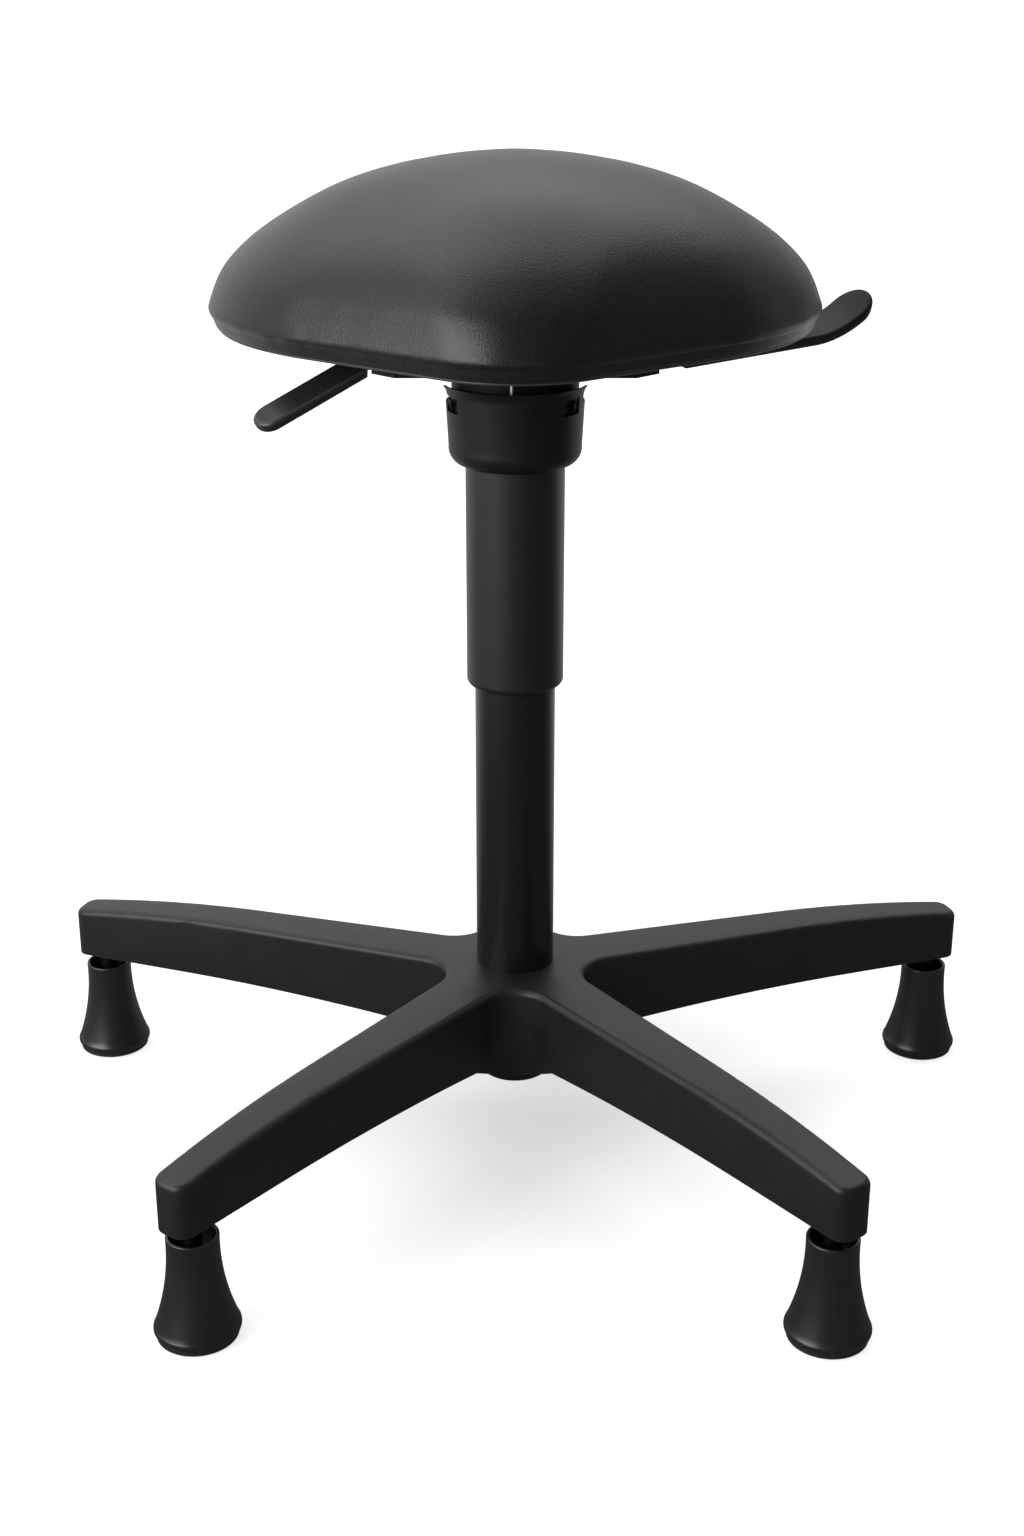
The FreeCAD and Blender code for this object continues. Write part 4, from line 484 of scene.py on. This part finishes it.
def seat_outline(count, nose_share=1.0):
    """Plan of the seat: count points and outward normals, evenly spaced round nose circle, straight cheek,
    hip arc, rear corner and shallow back arc, each tangent to the next, and mirrored for the other side. The
    nose circle is nose_share times its rim size, with its front point kept."""
    nose = nose_radius * nose_share
    nose_centre = nose_y + nose - nose_radius
    corner_x = hip_x + hip_radius - corner_radius
    lift = back_y - hip_y
    back_radius = (corner_x ** 2 + lift ** 2 - corner_radius ** 2) / (2 * (lift - corner_radius))
    back_centre = back_y - back_radius
    swing = math.atan2(hip_y - back_centre, corner_x)
    gap_x, gap_y = hip_x, hip_y - nose_centre
    low = math.atan2(gap_y, gap_x) - math.acos((nose - hip_radius) / math.hypot(gap_x, gap_y))
    runs = [((0, nose_centre), nose, -math.pi / 2, low), ((hip_x, hip_y), hip_radius, low, 0),
            ((corner_x, hip_y), corner_radius, 0, swing), ((0, back_centre), back_radius, swing, math.pi / 2)]
    angle = np.concatenate([np.linspace(start, end, arc_points) for _, _, start, end in runs])
    centre = np.concatenate([np.tile(middle, (arc_points, 1)) for middle, _, _, _ in runs])
    radius = np.concatenate([np.full(arc_points, size) for _, size, _, _ in runs])
    out = np.stack([np.cos(angle), np.sin(angle)], 1)
    half = centre + radius[:, None] * out
    points = np.concatenate([half, half[::-1] * (-1, 1)])
    normals = np.concatenate([out, out[::-1] * (-1, 1)])
    step = np.linalg.norm(np.diff(points, axis=0), axis=1)
    run = np.concatenate([[0], np.cumsum(step)])
    at = np.linspace(0, run[-1], count, endpoint=False)
    plan = np.stack([np.interp(at, run, points[:, k]) for k in (0, 1)], 1)
    facing = np.stack([np.interp(at, run, normals[:, k]) for k in (0, 1)], 1)
    return plan, facing / np.linalg.norm(facing, axis=1)[:, None], at


def smooth_curve(x, y, at):
    """Monotone cubic through given points, with harmonic-mean slopes, so it never overshoots."""
    h, d = np.diff(x), np.diff(y) / np.diff(x)
    slope = np.zeros_like(y)
    same = d[:-1] * d[1:] > 0
    w1, w2 = 2 * h[1:] + h[:-1], h[1:] + 2 * h[:-1]
    slope[1:-1][same] = ((w1 + w2)[same] / (w1[same] / d[:-1][same] + w2[same] / d[1:][same]))
    slope[0], slope[-1] = d[0], d[-1]
    k = np.clip(np.searchsorted(x, at) - 1, 0, len(h) - 1)
    t = (at - x[k]) / h[k]
    return ((2 * t ** 3 - 3 * t ** 2 + 1) * y[k] + (t ** 3 - 2 * t ** 2 + t) * h[k] * slope[k]
            + (3 * t ** 2 - 2 * t ** 3) * y[k + 1] + (t ** 3 - t ** 2) * h[k] * slope[k + 1])


def seat_rows():
    """Rows of the cover from the pocket's middle out, under the rim, up its slanted band to the crease and on
    to the crown: each is an inset in metres, a scale about the crown's axis, a height and a nose share. The
    crown's rows are evenly spaced along its profile, and its first ones keep a small inset that fades out."""
    rows = [(pocket_inset, scale, pocket_z, 1.0) for scale in (0.02, 0.3, 0.6, 0.85, 0.97, 1.0)]
    rows += [(inset, 1.0, height, 1.0) for inset, height in rim_rows]
    fine = np.linspace(0, 1, profile_points)
    steps = np.linspace(0, 1, len(height_shares))
    height, size, ease = [smooth_curve(steps, shares, fine)
                          for shares in (height_shares, size_shares, nose_shares)]
    piece = np.hypot(np.diff(size) * mean_reach, np.diff(height) * (top_z - wide_z))
    length = np.concatenate([[0], np.cumsum(piece)])
    share = np.interp(np.linspace(0, length[-1], crown_rows), length, fine)
    rows += [(lip_inset * max(0, 1 - s / lip_share) ** 2, np.interp(s, fine, size),
              wide_z + (top_z - wide_z) * np.interp(s, fine, height), np.interp(s, fine, ease))
             for s in share]
    rows += [(0.0, 0.02, top_z, nose_shares[-1])]
    return np.array(rows)


def seat_form(rows):
    """Grid of points: crown axis + scale * (outline - inset * normal - crown axis), at the row's height."""
    axis = np.array([0.0, crown_y])
    inset, scale, height = rows[:, 0, None, None], rows[:, 1, None, None], rows[:, 2, None, None]
    plans = np.stack([np.stack(seat_outline(columns, share)[:2]) for share in rows[:, 3]])
    flat = axis + scale * (plans[:, 0] - inset * plans[:, 1] - axis)
    return np.concatenate([flat, np.broadcast_to(height, flat.shape[:2] + (1,))], 2)


def grid_mesh(name, grid, close_ends=True):
    """Mesh of a grid whose columns wrap round, with a point that closes each end row."""
    up, around = grid.shape[:2]
    index = np.arange(up * around).reshape(up, around)
    after = np.roll(index, -1, 1)
    quads = np.stack([index[:-1], after[:-1], after[1:], index[1:]], -1).reshape(-1, 4)
    points = grid.reshape(-1, 3)
    faces = quads.tolist()
    if close_ends:
        low, high = len(points), len(points) + 1
        points = np.concatenate([points, grid[:1].mean(1), grid[-1:].mean(1)])
        faces += np.stack([after[0], index[0], np.full(around, low)], -1).tolist()
        faces += np.stack([index[-1], after[-1], np.full(around, high)], -1).tolist()
    mesh = bpy.data.meshes.new(name)
    mesh.from_pydata(points.tolist(), [], faces)
    mesh.polygons.foreach_set("use_smooth", np.ones(len(mesh.polygons), bool))
    mesh.update()
    return mesh


def nearest(points, others, count):
    """Each point's nearest others and their distances, from |p|^2 - 2 p.o + |o|^2 in blocks of 256 points."""
    index, reach = [], []
    for block in np.array_split(points, 1 + len(points) // 256):
        gap = (block ** 2).sum(1)[:, None] - 2 * block @ others.T + (others ** 2).sum(1)[None]
        near = np.argpartition(gap, count, axis=1)[:, :count]
        index.append(near)
        reach.append(np.sqrt(np.clip(np.take_along_axis(gap, near, 1), 0, None)))
    return np.concatenate(index), np.concatenate(reach)


def stuffed(form, stapled):
    """Cloth run on a remeshed copy: the cover swells under the foam's pressure, with its stapled rows held.
    Returns the copy's points before, and each one's move, which is cut to the longest one allowed."""
    trial = bpy.data.objects.new("trial", grid_mesh("seat_trial", form))
    scene.collection.objects.link(trial)
    remesh = trial.modifiers.new("voxels", "REMESH")
    remesh.mode, remesh.voxel_size = "VOXEL", voxel
    bpy.context.view_layer.objects.active = trial
    trial.select_set(True)
    bpy.ops.object.modifier_apply(modifier=remesh.name)
    count = len(trial.data.vertices)
    before = np.zeros(count * 3, np.float32)
    trial.data.vertices.foreach_get("co", before)
    before = before.reshape(-1, 3).astype(float)
    beside, _ = nearest(before, form.reshape(-1, 3), 1)
    held = trial.vertex_groups.new(name="held")
    held.add(np.nonzero(np.repeat(stapled, form.shape[1])[beside[:, 0]])[0].tolist(), 1.0, "REPLACE")
    cloth = trial.modifiers.new("cloth", "CLOTH")
    cloth.settings.quality = 6
    cloth.settings.mass = 0.4
    cloth.settings.tension_stiffness = cloth.settings.compression_stiffness = 15
    cloth.settings.bending_stiffness = 2
    cloth.settings.use_pressure = True
    cloth.settings.uniform_pressure_force = 240
    cloth.settings.vertex_group_mass = "held"
    cloth.settings.effector_weights.gravity = 0
    for step in range(1, cloth_steps + 1):
        scene.frame_set(step)
    swollen = trial.evaluated_get(bpy.context.evaluated_depsgraph_get()).data
    after = np.zeros(count * 3, np.float32)
    swollen.vertices.foreach_get("co", after)
    move = after.reshape(-1, 3) - before
    reach = np.linalg.norm(move, axis=1)
    move *= (np.minimum(reach, longest_move) / np.maximum(reach, 1e-9))[:, None]
    bpy.data.objects.remove(trial)
    scene.frame_set(1)
    return before, move


def carried(points, before, move):
    """Move of each point: the mean of its eight nearest simulated points' moves, weighted by one over their
    squared distance."""
    near, reach = nearest(points, before, 8)
    weight = 1 / (reach + 1e-4) ** 2
    return (move[near] * weight[..., None]).sum(1) / weight.sum(1)[:, None]


def rim_folds(run, above):
    """Depth of the soft folds where the cover is pulled under the rim: a sum of narrow bells along the
    outline at seeded places, each with its own width, depth and lean, times one bell over the height."""
    total = run[-1] + run[1]
    rng = np.random.default_rng(fold_seed)
    middle = (np.arange(fold_count) + rng.uniform(-0.4, 0.4, fold_count)) / fold_count * total
    width = rng.uniform(0.0022, 0.0060, fold_count)
    depth = rng.uniform(0.2, 1.0, fold_count)
    lean = rng.uniform(-0.5, 0.5, fold_count)
    away = run[None, :, None] + above[..., None] * lean - middle
    away = (away + total / 2) % total - total / 2
    fold = (depth * np.exp(-(away / width) ** 2)).sum(-1)
    return fold_depth * fold * np.where(above > 0, np.exp(-((above - fold_above) / fold_spread) ** 2), 0)


plan, facing, run = seat_outline(columns)
rows = seat_rows()
form = seat_form(rows)
stapled = rows[:, 0] > lip_inset + 0.0001
crown = np.clip((form[..., 2] - wide_z) / (top_z - wide_z), 0, 1)
free = np.where(stapled[:, None], 0, np.minimum(1, crown * 6))[..., None]
from_heart = form - np.array([0, crown_y, wide_z])
taken_in = form - slack * from_heart / np.linalg.norm(from_heart, axis=2)[..., None] * free
before, move = stuffed(taken_in, stapled)
form = taken_in + carried(taken_in.reshape(-1, 3), before, move).reshape(form.shape) * free
outward = np.concatenate([facing, np.zeros((len(facing), 1))], 1)
form = form - rim_folds(run, np.clip(form[..., 2] - rim_z, 0, None))[..., None] * outward
seat_cover = bpy.data.objects.new("seat_cover", grid_mesh("seat_cover", form))
scene.collection.objects.link(seat_cover)
smoother = seat_cover.modifiers.new("smoother", "SUBSURF")
smoother.levels = smoother.render_levels = 1


def pebbled_leather():
    """Artificial leather: rounded pebbles about 1 mm across from cell distances on warped coordinates, finer
    pores between them, darker gaps, and slow changes of shade and gloss."""
    material, tree, shader = finish_material("artificial_leather")
    point = add_node(tree, "ShaderNodeTexCoord", {}).outputs["Object"]
    drift = add_node(tree, "ShaderNodeTexNoise", {"Vector": point, "Scale": 60.0, "Detail": 2.0})
    bend = add_node(tree, "ShaderNodeVectorMath", {0: drift.outputs["Color"], "Scale": 0.004}, "SCALE")
    warped = add_node(tree, "ShaderNodeVectorMath", {0: point, 1: bend.outputs[0]}, "ADD")
    cells = add_node(tree, "ShaderNodeTexVoronoi", {"Vector": warped.outputs[0], "Scale": 850.0,
                                                    "Randomness": 0.9})
    cells.feature = "SMOOTH_F1"
    cells.inputs["Smoothness"].default_value = 0.35
    pebble = ramp(tree, cells.outputs["Distance"], 0.0, 0.8, 1.0, 0.0)
    pore = noise(tree, point, 1900.0, 2.0)
    slow = noise(tree, point, 22.0, 5.0, 0.6)
    body = blend_colours(tree, slow, grey(0.010), grey(0.016))
    tree.links.new(blend_colours(tree, pebble, grey(0.006), body), shader.inputs["Base Color"])
    tree.links.new(ramp(tree, slow, 0, 1, 0.32, 0.42), shader.inputs["Roughness"])
    raise_normal(tree, shader, compute(tree, "MULTIPLY_ADD", pore, 0.3, pebble), 0.00009, 0.8)
    return material


seat_cover.data.materials.append(pebbled_leather())
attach(seat_cover, "seat")
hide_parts("seat_cushion")

# Rim trim: a thin flexible strip of plastic that closes the edge of the cover under the rim. Its colour is
# painted paler than the other black plastics: a painted highlight for the thin line of light along the rim's
# bottom edge. It is a band with a rounded outer edge, swept once round the seat.
trim_outer, trim_inner, trim_z, trim_radius = 0.0066, 0.0140, 0.51955, 0.0009
trim_corner = 0.0002


def swept_band(name, plan, facing, section):
    """Closed section of (inset, height) points round the outline: point = outline - inset * normal."""
    inset, height = np.array(section).T
    flat = plan[None] - inset[:, None, None] * facing[None]
    grid = np.concatenate([flat, np.broadcast_to(height[:, None, None], flat.shape[:2] + (1,))], 2)
    grid = np.concatenate([grid, grid[:1]])
    return grid_mesh(name, grid, close_ends=False)


round_edge = np.linspace(math.pi / 2, 3 * math.pi / 2, 9)
trim_section = [(trim_outer + trim_radius * (1 + math.cos(angle)), trim_z + trim_radius * math.sin(angle))
                for angle in round_edge]
trim_section += [(trim_inner - trim_corner, trim_z - trim_radius),
                 (trim_inner, trim_z - trim_radius + trim_corner),
                 (trim_inner, trim_z + trim_radius - trim_corner),
                 (trim_inner - trim_corner, trim_z + trim_radius)]
trim_mesh = swept_band("rim_trim", plan, facing, trim_section[::-1])
rim_trim = bpy.data.objects.new("rim_trim", trim_mesh)
scene.collection.objects.link(rim_trim)
# Paler colour: painted highlight along the bottom edge of the rim.
trim_mesh.materials.append(moulded_plastic("trim_plastic", grey(0.03), grey(0.045), grey(0.08), (0.35, 0.45),
                                           wear=0.0))
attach(rim_trim, "seat")
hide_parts("seat_rim_trim")
